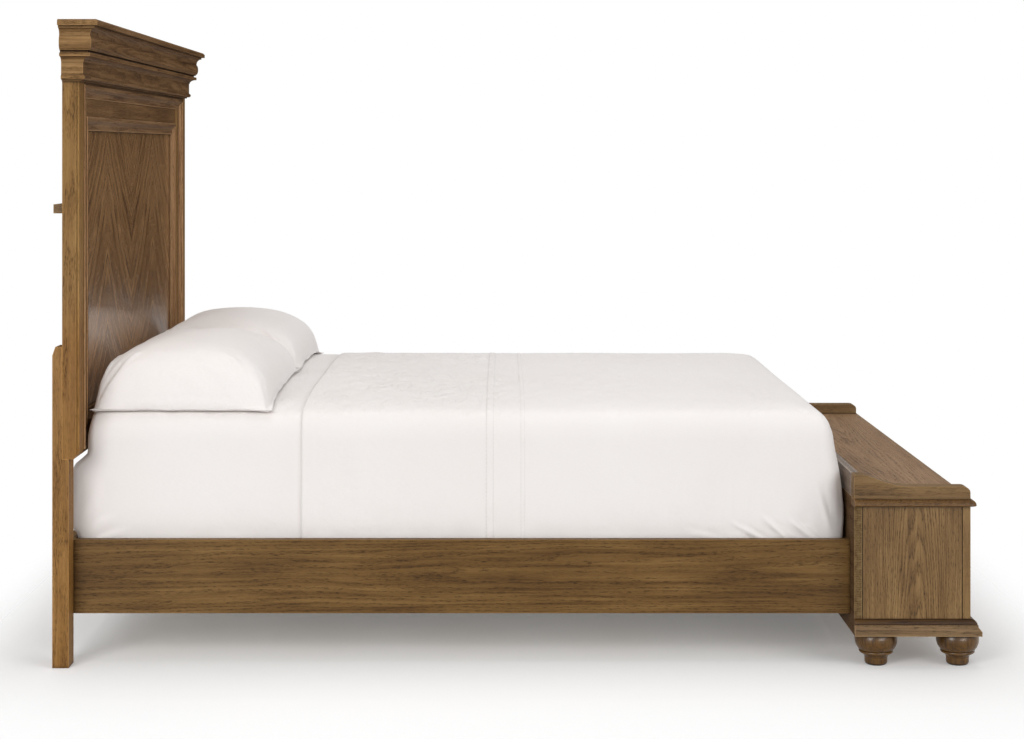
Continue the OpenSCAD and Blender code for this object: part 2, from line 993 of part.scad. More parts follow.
module foot_bolts() {
    color("silver")
        for (m = [-1, 1])
            for (p = foot_places())
                translate([p[0], m * foot_y, foot_h - foot_bolt_in])
                    cylinder(h = foot_bolt_in + plinth_h, r = foot_bolt_r);
}

// Bench top: the lid lies between two fixed boards that carry the raised ends
lid_edge = half_w - end_t - lid_gap;
hinge_x = back_inner + pin_r + knuckle_wall + seat_clear;
hinge_z = seat_h + pin_r + knuckle_wall + seat_clear;
lid_back = back_inner + lid_gap;

// Section of a top board from its back edge to its moulded front
function top_section(back) = concat(
    [[back, 0]],
    [for (q = nose_profile) [bench_front + q.x, q.y]],
    [[back, lid_t]]
);

module top_end_boards() {
    side = half_w + nose;
    color("#ab8a66")
        for (m = [0, 1])
            mirror([0, m, 0])
                translate([0, 0, lid_z])
                    intersection() {
                        translate([0, side, 0])
                            rotate([90, 0, 0])
                                linear_extrude(end_t + nose)
                                    polygon(top_section(bench_back));
                        translate([bench_back, 0, 0])
                            rotate([90, 0, 90])
                                linear_extrude(bench_d + nose)
                                    polygon(concat(
                                        [[half_w - end_t, 0]],
                                        [for (q = nose_profile) [half_w + q.x, q.y]],
                                        [[half_w - end_t, lid_t]]
                                    ));
                    }
}

// A raised end: high at the back, sweeping down to a low rail with a rounded front corner
module raised_end() {
    sweep = [
        [bench_back + 20, gallery_h], [bench_back + 53, gallery_h],
        [bench_back + 78, end_h], [bench_back + 155, end_h]
    ];
    color("#9a7a52")
        translate([0, half_w, seat_h])
            rotate([90, 0, 0])
                linear_extrude(end_t)
                    polygon(concat(
                        [[bench_front, 0]],
                        arc(bench_front - 19, end_h - 15, 19, 15, 0, 90, 6),
                        [for (i = [14 : -1 : 0]) bezier(sweep, 14)[i]],
                        [[bench_back + 3, gallery_h], [bench_back, gallery_h - 3], [bench_back, 0]]
                    ));
}

module raised_end_right() {
    raised_end();
}

module raised_end_left() {
    left_side()
        raised_end();
}

module gallery_back() {
    reach = half_w - end_t;
    color("#9a7a52")
        translate([0, reach, seat_h])
            rotate([90, 0, 0])
                linear_extrude(2 * reach)
                    polygon([
                        [bench_back, 0], [back_inner, 0], [back_inner, gallery_h - 2],
                        [back_inner - 2, gallery_h], [bench_back + 2, gallery_h],
                        [bench_back, gallery_h - 2]
                    ]);
}

module lid() {
    housed = hinge_l / 2 + pin_over + 1;
    color("#ab8a66")
        difference() {
            translate([0, lid_edge, lid_z])
                rotate([90, 0, 0])
                    linear_extrude(2 * lid_edge)
                        polygon(top_section(lid_back));
            at_hinges()
                block(
                    [lid_back - 1, -housed, leaf_under],
                    [hinge_x + leaf_w + 1, housed, seat_h + 1]
                );
        }
}

module lid_battens() {
    color("#b99a6c")
        for (m = [-1, 1])
            translate([0, m * lid_edge * 0.6, 0])
                block(
                    [lid_back + 30, -batten_w / 2, lid_z - batten_t],
                    [frame_back - 15, batten_w / 2, lid_z]
                );
}

// Hinges: two fixed knuckles and one moving knuckle on each pin
function hinge_y(i) = hinges == 1 ? 0 : lid_edge * 0.72 * (2 * i / (hinges - 1) - 1);
knuckle_l = hinge_l / 3;
knuckle_r = pin_r + knuckle_wall;
knuckle_gap = 0.3;
pin_over = 2;
let_in = 0.5;
leaf_under = seat_h - let_in;

module hinge_pin_hole(r) {
    bar_y(-hinge_l, hinge_l, hinge_x, hinge_z, r);
}

module fixed_leaf() {
    difference() {
        union() {
            for (s = [-1, 1]) {
                y = s * knuckle_l;
                bar_y(y - knuckle_l / 2, y + knuckle_l / 2, hinge_x, hinge_z, knuckle_r);
                block(
                    [back_inner, y - knuckle_l / 2, hinge_z],
                    [back_inner + leaf_t, y + knuckle_l / 2, hinge_z + leaf_w]
                );
            }
            block(
                [back_inner, -hinge_l / 2, hinge_z + knuckle_r + 1],
                [back_inner + leaf_t, hinge_l / 2, hinge_z + leaf_w]
            );
        }
        hinge_pin_hole(pin_r);
    }
}

module moving_leaf() {
    tab = knuckle_l / 2 - knuckle_gap;
    far = hinge_x + leaf_w;
    difference() {
        union() {
            bar_y(-tab, tab, hinge_x, hinge_z, knuckle_r);
            block([hinge_x, -tab, leaf_under], [far, tab, leaf_under + leaf_t]);
            block(
                [hinge_x + knuckle_r + 1, -hinge_l / 2, leaf_under],
                [far, hinge_l / 2, leaf_under + leaf_t]
            );
        }
        hinge_pin_hole(pin_r + run_clear);
    }
}

module hinge_pin() {
    bar_y(-hinge_l / 2 - pin_over, hinge_l / 2 + pin_over, hinge_x, hinge_z, pin_r);
}

module at_hinges() {
    for (i = [0 : hinges - 1])
        translate([0, hinge_y(i), 0])
            children();
}

module lid_hinge_fixed_leaves() {
    color("#6d675c")
        at_hinges()
            fixed_leaf();
}

module lid_hinge_moving_leaves() {
    color("#6d675c")
        at_hinges()
            moving_leaf();
}

module lid_hinge_pins() {
    color("silver")
        at_hinges()
            hinge_pin();
}

// Bedding. Each row of the made bed's surface: height, how far it stands in from the sides,
// its own setback at the head, then its normal's share outwards and upwards
bed_half = mattress_w / 2 - under_size / 2;
bed_foot = bench_back - under_size - 8;
bed_head = leg_front + 6;
head_clear = body_front + 6 - bed_head;
swell = 16;
hem_z = rail_top - tuck;
bed_rows = [
    [hem_z, 2, 4, 1, 0],
    [rail_top + 10, 0, 0, 1, 0],
    [rail_top + 24, 0, -swell, 1, 0],
    [body_bottom - 36, 0, 2 - swell, 1, 0],
    [body_bottom - 4, 0, head_clear, 1, 0],
    [edge_top - 58, 0, head_clear, 1, 0],
    [edge_top - 30, 6, head_clear + 3, 0.9, 0.3],
    [edge_top - 11, 22, head_clear + 8, 0.7, 0.7],
    [edge_top - 2, 46, head_clear + 12, 0.3, 1],
    [edge_top + crown * 0.3, 105, head_clear, 0, 1],
    [edge_top + crown * 0.65, 230, head_clear, 0, 1],
    [edge_top + crown * 0.9, 400, head_clear, 0, 1],
    [edge_top + crown, 620, head_clear, 0, 1]
];
corner_steps = 6;
long_steps = 7;
short_steps = 5;

function between(a, b, n) = [for (i = [1 : n - 1]) a + (b - a) * i / n];

function corner(cx, cy, a) = arc(cx, cy, corner_r, corner_r, a, a + 90, corner_steps);

// One closed ring of the bed's surface, grown outwards by d
function ring(row, d) =
    let (
        grow = d * row[3],
        z = row[0] + d * row[4],
        x0 = bed_head + row[1] + row[2] - grow,
        x1 = bed_foot - row[1] + grow,
        y = bed_half - row[1] + grow,
        a = x0 + corner_r,
        b = x1 - corner_r,
        c = y - corner_r
    )
    [
        for (q = concat(
            between([a, -y], [b, -y], long_steps), corner(b, -c, -90),
            between([x1, -c], [x1, c], short_steps), corner(b, c, 0),
            between([b, y], [a, y], long_steps), corner(a, c, 90),
            between([x0, c], [x0, -c], short_steps), corner(a, -c, 180)
        ))
            [q.x, q.y, z]
    ];

// The part of such a ring that the top sheet covers, from its hem round the foot
function open_ring(row, d) =
    let (
        grow = d * row[3],
        z = row[0] + d * row[4],
        x0 = body_front + hem_back,
        x1 = bed_foot - row[1] + grow,
        y = bed_half - row[1] + grow,
        b = x1 - corner_r,
        c = y - corner_r
    )
    [
        for (q = concat(
            [[x0, -y]], between([x0, -y], [b, -y], long_steps), corner(b, -c, -90),
            between([x1, -c], [x1, c], short_steps), corner(b, c, 0),
            between([b, y], [x0, y], long_steps), [[x0, y]]
        ))
            [q.x, q.y, z]
    ];

function joined(lists) = [for (list = lists) for (q = list) q];

// Triangles between neighbouring rings of n points; wrap closes each ring on itself
function bands(rings, n, wrap, from) = [
    for (k = [0 : rings - 2])
        for (i = [0 : n - 2 + wrap])
            let (
                a = from + k * n + i,
                b = from + k * n + (i + 1) % n,
                c = b + n,
                d = a + n
            )
            each [[a, d, c], [a, c, b]]
];

function count_up(from, n) = [for (i = [0 : n - 1]) from + i];

function flipped(faces) = [for (f = faces) [for (i = [len(f) - 1 : -1 : 0]) f[i]]];

// A fan of triangles from a centre point to n ring points; wrap closes it
function fan(centre, from, n, wrap) = [
    for (i = [0 : n - 2 + wrap]) [centre, from + (i + 1) % n, from + i]
];

function last(list) = list[len(list) - 1];

function middle(points) = (
    [min([for (q = points) q.x]), 0, points[0].z] + [max([for (q = points) q.x]), 0, points[0].z]
) / 2;

// The outer or inner face of a sheet: its rings from the hem up, then one point that ends the crown
function closed_points(rows, d) = let (top = ring(last(rows), d))
    concat(joined([for (row = rows) ring(row, d)]), [middle(top)]);

function open_points(rows, d) = let (top = open_ring(last(rows), d))
    concat(joined([for (row = rows) open_ring(row, d)]), [[top[0].x, 0, top[0].z]]);

function face_grid(m, n, wrap, from) = concat(
    bands(m, n, wrap, from), fan(from + m * n, from + (m - 1) * n, n, wrap)
);

// A closed solid from its flat bottom up to the crown
module ring_solid(rows, d) {
    n = len(ring(rows[0], d));
    m = len(rows);
    polyhedron(
        points = concat(closed_points(rows, d), [middle(ring(rows[0], d))]),
        faces = concat(face_grid(m, n, 1, 0), flipped(fan(m * n + 1, 0, n, 1)))
    );
}

// Triangles that join the edge of a sheet's outer face to that of its inner face
function hem_faces(edge, inner) = [
    for (i = [0 : len(edge) - 1])
        let (a = edge[i], b = edge[(i + 1) % len(edge)])
        each [[a, b, inner + b], [a, inner + b, inner + a]]
];

// A sheet pulled over the whole bed, open underneath
module closed_sheet(rows, d0, d1) {
    n = len(ring(rows[0], 0));
    m = len(rows);
    inner = m * n + 1;
    polyhedron(
        points = concat(closed_points(rows, d1), closed_points(rows, d0)),
        faces = concat(
            face_grid(m, n, 1, 0), flipped(face_grid(m, n, 1, inner)),
            hem_faces(count_up(0, n), inner)
        )
    );
}

// A sheet over the foot part of the bed, with a hem across it
module open_sheet(rows, d0, d1) {
    n = len(open_ring(rows[0], 0));
    m = len(rows);
    inner = m * n + 1;
    edge = concat(
        count_up(0, n), [for (k = [1 : m - 1]) k * n + n - 1], [m * n],
        [for (k = [m - 1 : -1 : 1]) k * n]
    );
    polyhedron(
        points = concat(open_points(rows, d1), open_points(rows, d0)),
        faces = concat(
            face_grid(m, n, 0, 0), flipped(face_grid(m, n, 0, inner)), hem_faces(edge, inner)
        )
    );
}

fitted_in = soft_clear;
fitted_out = fitted_in + sheet_t;
top_in = fitted_out + soft_clear;
top_out = top_in + sheet_t;

module foundation() {
    inset = 6;
    x0 = bed_head + inset;
    x1 = bed_foot - inset;
    y = bed_half - inset;
    r = corner_r - inset;
    color("#e8e2d8")
        translate([0, 0, slat_top + seat_clear])
            linear_extrude(foundation_h - seat_clear)
                polygon(concat(
                    arc(x1 - r, -y + r, r, r, -90, 0, 8), arc(x1 - r, y - r, r, r, 0, 90, 8),
                    arc(x0 + r, y - r, r, r, 90, 180, 8), arc(x0 + r, -y + r, r, r, 180, 270, 8)
                ));
}

mattress_rows = [
    [foundation_top + soft_clear, 4, -swell, 1, 0],
    for (i = [3, 4, 5, 6, 8, 10, 12]) bed_rows[i]
];

module mattress() {
    color("#f0ece4")
        ring_solid(mattress_rows, 0);
}

module fitted_sheet() {
    color("#f6f3ef")
        closed_sheet(bed_rows, fitted_in, fitted_out);
}

module top_sheet() {
    color("#faf8f5")
        open_sheet(bed_rows, top_in, top_out);
}

// Height of the fitted sheet's top at a point, from how far it lies in from the sides
bed_heights = [
    for (row = bed_rows)
        if (row[0] > edge_top - 60)
            [row[1] + (row[1] == 0 ? 0.01 : 0), row[0] + fitted_out]
];

function bed_z(x, y) = lookup(
    min(bed_half - abs(y), bed_foot - x, x - bed_head - head_clear), bed_heights
);

// Pillow outline with drawn-in sides and pointed corners, for t from 0 to 360
function outline(t) =
    let (
        u = sign(cos(t)) * pow(abs(cos(t)), 0.2),
        v = sign(sin(t)) * pow(abs(sin(t)), 0.2)
    )
    [
        u * (pillow_w / 2 - draw_in * (1 - v * v)),
        v * (pillow_l / 2 - draw_in * (1 - u * u)),
        pow(abs(u * v), 6)
    ];

pillow_points = 60;
pillow_x = body_front + 5.5 + pillow_w / 2;
pillow_y = (pillow_l + pillow_gap) / 2;
seam_lift = 14;
tip_lift = 16;
pillow_clear = 3.5;

// Share of the outline, then share of the crown; below the seam the share is negative
pillow_rows = [
    [0.25, -1], [0.5, -1], [0.72, -1], [0.88, -0.95], [0.96, -0.6],
    [1, 0], [0.985, 0.1], [0.955, 0.2], [0.91, 0.32], [0.85, 0.46], [0.77, 0.6],
    [0.67, 0.74], [0.55, 0.85], [0.41, 0.93], [0.25, 0.98], [0.1, 1]
];

function pillow_ring(row) = [
    for (i = [0 : pillow_points - 1])
        let (
            o = outline(360 * (i + 0.5) / pillow_points),
            x = pillow_x + o.x * row[0],
            y = pillow_y + o.y * row[0],
            seat = bed_z(x, y) + pillow_clear,
            seam = max(edge_top + seam_lift + crown * 0.3, seat) + tip_lift * o.z * row[0],
            z = row[1] < 0 ? seam + (seat - seam) * -row[1] : seam + pillow_h * row[1]
        )
        [x, y, max(z, seat)]
];

module pillow() {
    m = len(pillow_rows);
    n = pillow_points;
    polyhedron(
        points = joined([for (row = pillow_rows) pillow_ring(row)]),
        faces = concat(
            bands(m, n, 1, 0), [count_up(0, n)], flipped([count_up((m - 1) * n, n)])
        ),
        convexity = 4
    );
}

module pillows() {
    color("#fbf9f7") {
        pillow();
        left_side()
            pillow();
    }
}

headboard_stile_left();
headboard_stile_right();
headboard_top_rail();
headboard_bottom_rail();
headboard_panel();
panel_veneer();
outer_moulding();
panel_moulding();
headboard_back_batten();
cornice_cap();
cornice_crown();
cornice_lip();
frieze_board();
astragal();
headboard_leg_left();
headboard_leg_right();
headboard_cross_rail();
leg_bolts();
side_rail_left();
side_rail_right();
slat_ledgers();
rail_brackets();
rail_bolts();
bed_slats();
slat_screws();
centre_legs();
centre_leg_glides();
bench_front_stiles();
bench_front_top_rail();
bench_front_bottom_rail();
bench_front_muntin();
bench_front_panels();
bench_front_moulding();
bench_end_panel_left();
bench_end_panel_right();
bench_back_panel();
bench_bottom();
bench_corner_cleats();
base_moulding();
plinth();
foot_blocks();
bun_foot(front_foot_x, -1);  // bun_foot_front_left
bun_foot(front_foot_x, 1);  // bun_foot_front_right
bun_foot(back_foot_x, -1);  // bun_foot_back_left
bun_foot(back_foot_x, 1);  // bun_foot_back_right
foot_bolts();
top_end_boards();
raised_end_left();
raised_end_right();
gallery_back();
lid();
lid_battens();
lid_hinge_fixed_leaves();
lid_hinge_moving_leaves();
lid_hinge_pins();
foundation();
mattress();
fitted_sheet();
top_sheet();
pillows();
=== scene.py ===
import math

import bpy
import numpy as np
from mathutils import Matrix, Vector


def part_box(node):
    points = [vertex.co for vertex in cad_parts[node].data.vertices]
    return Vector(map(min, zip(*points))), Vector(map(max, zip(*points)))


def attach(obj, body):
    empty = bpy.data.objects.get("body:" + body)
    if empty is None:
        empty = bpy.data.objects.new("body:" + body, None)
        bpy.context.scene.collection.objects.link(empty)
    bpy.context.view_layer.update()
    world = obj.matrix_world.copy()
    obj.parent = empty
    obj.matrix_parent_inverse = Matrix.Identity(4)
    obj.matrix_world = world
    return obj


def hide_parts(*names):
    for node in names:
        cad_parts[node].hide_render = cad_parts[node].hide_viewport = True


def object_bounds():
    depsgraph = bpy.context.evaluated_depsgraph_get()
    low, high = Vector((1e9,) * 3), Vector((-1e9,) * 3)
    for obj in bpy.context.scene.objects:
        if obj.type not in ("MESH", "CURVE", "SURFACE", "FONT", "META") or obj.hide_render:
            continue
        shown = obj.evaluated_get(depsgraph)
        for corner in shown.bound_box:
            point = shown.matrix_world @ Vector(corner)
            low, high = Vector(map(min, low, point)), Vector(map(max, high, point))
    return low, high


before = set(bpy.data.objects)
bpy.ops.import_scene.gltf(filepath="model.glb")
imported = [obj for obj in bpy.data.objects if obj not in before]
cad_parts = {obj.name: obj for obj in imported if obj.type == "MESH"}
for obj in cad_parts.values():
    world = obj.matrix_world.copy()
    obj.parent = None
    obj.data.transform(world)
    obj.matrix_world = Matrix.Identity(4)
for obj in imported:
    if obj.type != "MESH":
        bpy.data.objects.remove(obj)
cadLow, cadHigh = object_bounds()
print("frame loaded,", len(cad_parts), "pieces")


# shader helpers
def emptyTree(owner):
    owner.use_nodes = True
    owner.node_tree.nodes.clear()
    return owner.node_tree


def feed(node, inputs):
    # inputs by name or number: an output is linked to one, a number or a colour is set on it
    for name, value in dict(inputs).items():
        socket = node.inputs[name]
        if isinstance(value, bpy.types.NodeSocket):
            node.id_data.links.new(value, socket)
        elif socket.type == "RGBA":
            socket.default_value = (*value, 1)
        else:
            socket.default_value = value


def addNode(tree, kind, inputs=(), **settings):
    node = tree.nodes.new("ShaderNode" + kind)
    for name, value in settings.items():
        setattr(node, name, value)
    feed(node, inputs)
    return node


def joinNode(kind, inputs, **settings):
    # a node in the tree that its inputs come from
    inputs = dict(inputs)
    tree = next(value.id_data for value in inputs.values() if isinstance(value, bpy.types.NodeSocket))
    return addNode(tree, kind, inputs, **settings)


def startMaterial(name):
    material = bpy.data.materials.new(name)
    tree = emptyTree(material)
    shader = addNode(tree, "BsdfPrincipled")
    joinNode("OutputMaterial", {"Surface": shader.outputs["BSDF"]})
    return material, tree, shader


def calc(operation, *values):
    return joinNode("Math", enumerate(values), operation=operation).outputs[0]


def plus(*values):
    return calc("ADD", *values)


def minus(*values):
    return calc("SUBTRACT", *values)


def times(*values):
    return calc("MULTIPLY", *values)


def timesPlus(*values):
    return calc("MULTIPLY_ADD", *values)


def absolute(value):
    return calc("ABSOLUTE", value)


def distance(*parts):
    squares = (calc("POWER", part, 2.0) for part in parts)
    return calc("SQRT", plus(*squares))


def together(*parts):
    return joinNode("CombineXYZ", enumerate(parts)).outputs[0]


def apart(vector):
    return tuple(joinNode("SeparateXYZ", {0: vector}).outputs)


def stretched(parts, factors):
    # the same place with its parts stretched, where a factor of 1 leaves a part as it is
    longer = (part if factor == 1 else times(part, factor) for part, factor in zip(parts, factors))
    return together(*longer)


def noise(vector, scale, detail, roughness=0.5):
    inputs = {"Vector": vector, "Scale": scale, "Detail": detail, "Roughness": roughness}
    return joinNode("TexNoise", inputs).outputs["Fac"]


def rescale(value, low, high, newLow=0.0, newHigh=1.0):
    inputs = {"Value": value, "From Min": low, "From Max": high, "To Min": newLow, "To Max": newHigh}
    return joinNode("MapRange", inputs, interpolation_type="SMOOTHSTEP").outputs["Result"]


def ramp(value, places, colours):
    node = joinNode("ValToRGB", {"Fac": value})
    points = node.color_ramp.elements
    while len(points) < len(places):
        points.new(0.5)
    for point, at, colour in zip(points, places, colours):
        point.position = at
        point.color = (*colour, 1)
    return node.outputs["Color"]


def blendColour(share, first, second, mode="MIX"):
    inputs = {"Factor": share, 6: first, 7: second}
    return joinNode("Mix", inputs, data_type="RGBA", blend_type=mode).outputs[2]


def tinted(colour, tint):
    return blendColour(1.0, colour, tint, "MULTIPLY")


def blendValue(share, first, second):
    return joinNode("Mix", {"Factor": share, 2: first, 3: second}, data_type="FLOAT").outputs[0]


def mixShaders(share, first, second):
    return joinNode("MixShader", enumerate((share, first, second))).outputs[0]


def bumped(height, strength, depth, normal=None):
    inputs = {"Height": height, "Strength": strength, "Distance": depth}
    if normal is not None:
        inputs["Normal"] = normal
    return joinNode("Bump", inputs).outputs["Normal"]


def roundedEdge(tree, radius):
    return addNode(tree, "Bevel", {"Radius": radius}, samples=4).outputs["Normal"]


def faceNormal(tree):
    return addNode(tree, "NewGeometry").outputs["True Normal"]


def place(tree, centre=None):
    coords = addNode(tree, "TexCoord").outputs["Object"]
    if centre is None:
        return apart(coords)
    centred = joinNode("Mapping", {"Vector": coords, "Location": tuple(-c for c in centre)})
    return apart(centred.outputs["Vector"])


# grain directions: each gives the place along the grain, across it and through the board
def grainAlong(*order):
    def grain(tree, centre):
        parts = place(tree, centre)
        return [parts[i] for i in order]
    return grain


grainX = grainAlong(0, 2, 1)
grainY = grainAlong(1, 0, 2)
grainUp = grainAlong(2, 0, 1)
# upright boards that are seen from the front
grainUpFace = grainAlong(2, 1, 0)


def grainFrame(halfWidth, low, high, middle=0.0):
    # a mitred frame in the YZ plane: uprights along Z, cross pieces along Y
    def grain(tree, centre):
        x, y, z = place(tree)
        side = minus(absolute(y), middle) if middle else y
        fromSide = minus(halfWidth, absolute(side))
        fromEnd = calc("MINIMUM", minus(z, low), minus(high, z))
        upright = calc("LESS_THAN", fromSide, fromEnd)
        along = blendValue(upright, y, z)
        across = calc("PINGPONG", blendValue(upright, z, y), 0.07)
        return along, across, x
    return grain


def grainCourse(tree, centre):
    # a moulding that runs across the front and turns back along both sides
    x, y, z = place(tree)
    outX, outY, _ = apart(faceNormal(tree))
    turned = calc("GREATER_THAN", absolute(outY), plus(absolute(outX), 0.05))
    height = minus(z, centre[2])
    return blendValue(turned, y, x), height, blendValue(turned, x, y)


veneer = {
    "leaves": 4,
    "width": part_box("panel_veneer")[1].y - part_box("panel_veneer")[0].y,
}


def grainLeaves(tree, centre):
    # each leaf's grain runs at 45 degrees and is the mirror of its neighbour's
    x, y, z = place(tree)
    leaf = veneer["width"] / veneer["leaves"]
    fromSeam = calc("PINGPONG", plus(y, veneer["width"] / 2), leaf)
    slope = math.sqrt(0.5)
    along = times(plus(z, fromSeam), slope)
    across = times(minus(z, fromSeam), slope)
    return along, across, x


# oak, stained dark to pale and lacquered, with open pores, and darker in the corners and between parts: partly glaze
# left there, partly painted shade
oak = {
    "stain": ((0.085, 0.041, 0.012), (0.180, 0.098, 0.033), (0.285, 0.172, 0.066)),
    "poreShade": 0.46,
    # the glaze colour, also used as painted shade in corners, recesses and between parts
    "glazeAndShade": (0.014, 0.006, 0.002),
    "glazeAndShadeReach": 0.011,
    "glazeAndShadeShare": 0.9,
    "contrast": 1.35,
    "ring": 0.0046,
    "ringShare": 0.26,
    "pith": 0.11,
    "wander": 0.010,
    "roughness": 0.42,
    "gloss": 0.18,
    "ior": 1.5,
    "tilt": 1.0,
    # how far a face must turn to the side before it gets the painted side light
    "paintedSideLightFrom": (0.5, 0.9),
    "edge": 0.0012,
    # paler convex edges: partly wear, partly a painted highlight
    "wearAndHighlight": 0.6,
    "wearAndHighlightReach": 0.0030,
    "relief": 0.30,
    "grainDepth": 0.0004,
}
oakHeadboard = {
    **oak,
    "stain": ((0.070, 0.033, 0.011), (0.150, 0.077, 0.030), (0.230, 0.128, 0.056)),
    "contrast": 1.4,
    "ringShare": 0.22,
    "gloss": 0.07,
    "roughness": 0.5,
    "wearAndHighlight": 0.4,
    # painted light: faces turned to the sides are lighter than the front
    "paintedSideLight": (1.55, 1.65, 1.60),
}
oakMoulding = {
    **oakHeadboard,
    "stain": ((0.080, 0.038, 0.015), (0.165, 0.087, 0.038), (0.250, 0.145, 0.070)),
    "wearAndHighlight": 1.0,
    "wearAndHighlightReach": 0.0045,
    "glazeAndShadeReach": 0.016,
    # painted light: the sides much lighter than the front
    "paintedSideLight": (2.4, 2.5, 2.7),
    "paintedSideLightFrom": (0.10, 0.45),
}
# paler than the veneer's own tone: partly painted light, as the panel sits in shade and gets little light
oakField = {
    **oak,
    "stain": ((0.098, 0.043, 0.015), (0.258, 0.132, 0.050), (0.390, 0.220, 0.098)),
    "ring": 0.024,
    "ringShare": 0.38,
    "contrast": 1.4,
    "ior": 2.1,
    "pith": 0.05,
    "wander": 0.060,
    "roughness": 0.20,
    "gloss": 0.5,
    "relief": 0.08,
    "poreShade": 0.8,
}
oakTop = {
    **oak,
    "stain": ((0.160, 0.089, 0.044), (0.275, 0.163, 0.085), (0.380, 0.235, 0.130)),
    "contrast": 1.0,
    "roughness": 0.44,
    "poreShade": 0.6,
}
oakNose = {
    **oak,
    "stain": ((0.057, 0.024, 0.006), (0.116, 0.055, 0.014), (0.175, 0.091, 0.028)),
    "wearAndHighlight": 0.8,
    "roughness": 0.34,
}
oakRaised = {**oak, "stain": ((0.095, 0.048, 0.014), (0.172, 0.094, 0.031), (0.245, 0.146, 0.056)), "ringShare": 0.22}
oakSide = {
    **oak,
    "stain": ((0.140, 0.068, 0.019), (0.240, 0.126, 0.038), (0.330, 0.190, 0.065)),
    "ringShare": 0.20,
    "contrast": 1.1,
    "gloss": 0.08,
    # painted shade: darker towards the bottom of the stile
    "low": ((0.84, 1.02), (0.95, 0.84, 0.68)),
}
oakLeg = {**oakSide, "stain": ((0.145, 0.066, 0.018), (0.265, 0.131, 0.037), (0.365, 0.196, 0.063)), "low": None}
oakRail = {
    **oak,
    "stain": ((0.076, 0.036, 0.010), (0.143, 0.074, 0.021), (0.220, 0.123, 0.040)),
    "ringShare": 0.15,
    "tilt": 0.5,
    "gloss": 0.10,
}
oakEnd = {**oak, "ring": 0.0032, "ringShare": 0.24, "tilt": 3.2, "pith": 0.075, "joint": 0.0060, "poreShade": 0.40}
oakBase = {
    **oak,
    "stain": ((0.018, 0.006, 0.001), (0.036, 0.014, 0.002), (0.090, 0.042, 0.008)),
    "wearAndHighlight": 0.8,
    "gloss": 0.12,
    "roughness": 0.36,
}
oakPlinth = {**oak, "stain": ((0.100, 0.053, 0.020), (0.180, 0.107, 0.046), (0.250, 0.158, 0.075)), "wearAndHighlight": 0.8}
oakFoot = {
    **oak,
    "stain": ((0.058, 0.024, 0.003), (0.116, 0.051, 0.006), (0.180, 0.086, 0.014)),
    "roughness": 0.28,
    "gloss": 0.34,
    "ringShare": 0.12,
    "relief": 0.02,
}
# a darker copy of the oak: painted shade on the bench's back, with its sides painted lighter
oakBackPaintedShade = {
    **oak,
    "stain": ((0.060, 0.030, 0.013), (0.105, 0.058, 0.026), (0.160, 0.095, 0.046)),
    "gloss": 0.05,
    "roughness": 0.6,
    "paintedSideLight": (1.55, 1.75, 1.70),
}
# a paler, greyer copy of the oak: a painted sheen, as of the white sheets reflected in the gallery's back
oakGalleryPaintedSheen = {
    **oak,
    "stain": ((0.150, 0.100, 0.066), (0.235, 0.165, 0.115), (0.330, 0.245, 0.180)),
    "contrast": 0.9,
    "roughness": 0.20,
    "gloss": 0.5,
    "ior": 2.1,
    "relief": 0.06,
}
deal = {
    **oak,
    "stain": ((0.38, 0.24, 0.12), (0.52, 0.36, 0.20), (0.62, 0.46, 0.28)),
    "poreShade": 0.9,
    "contrast": 0.9,
    "wearAndHighlight": 0.0,
    "roughness": 0.62,
}


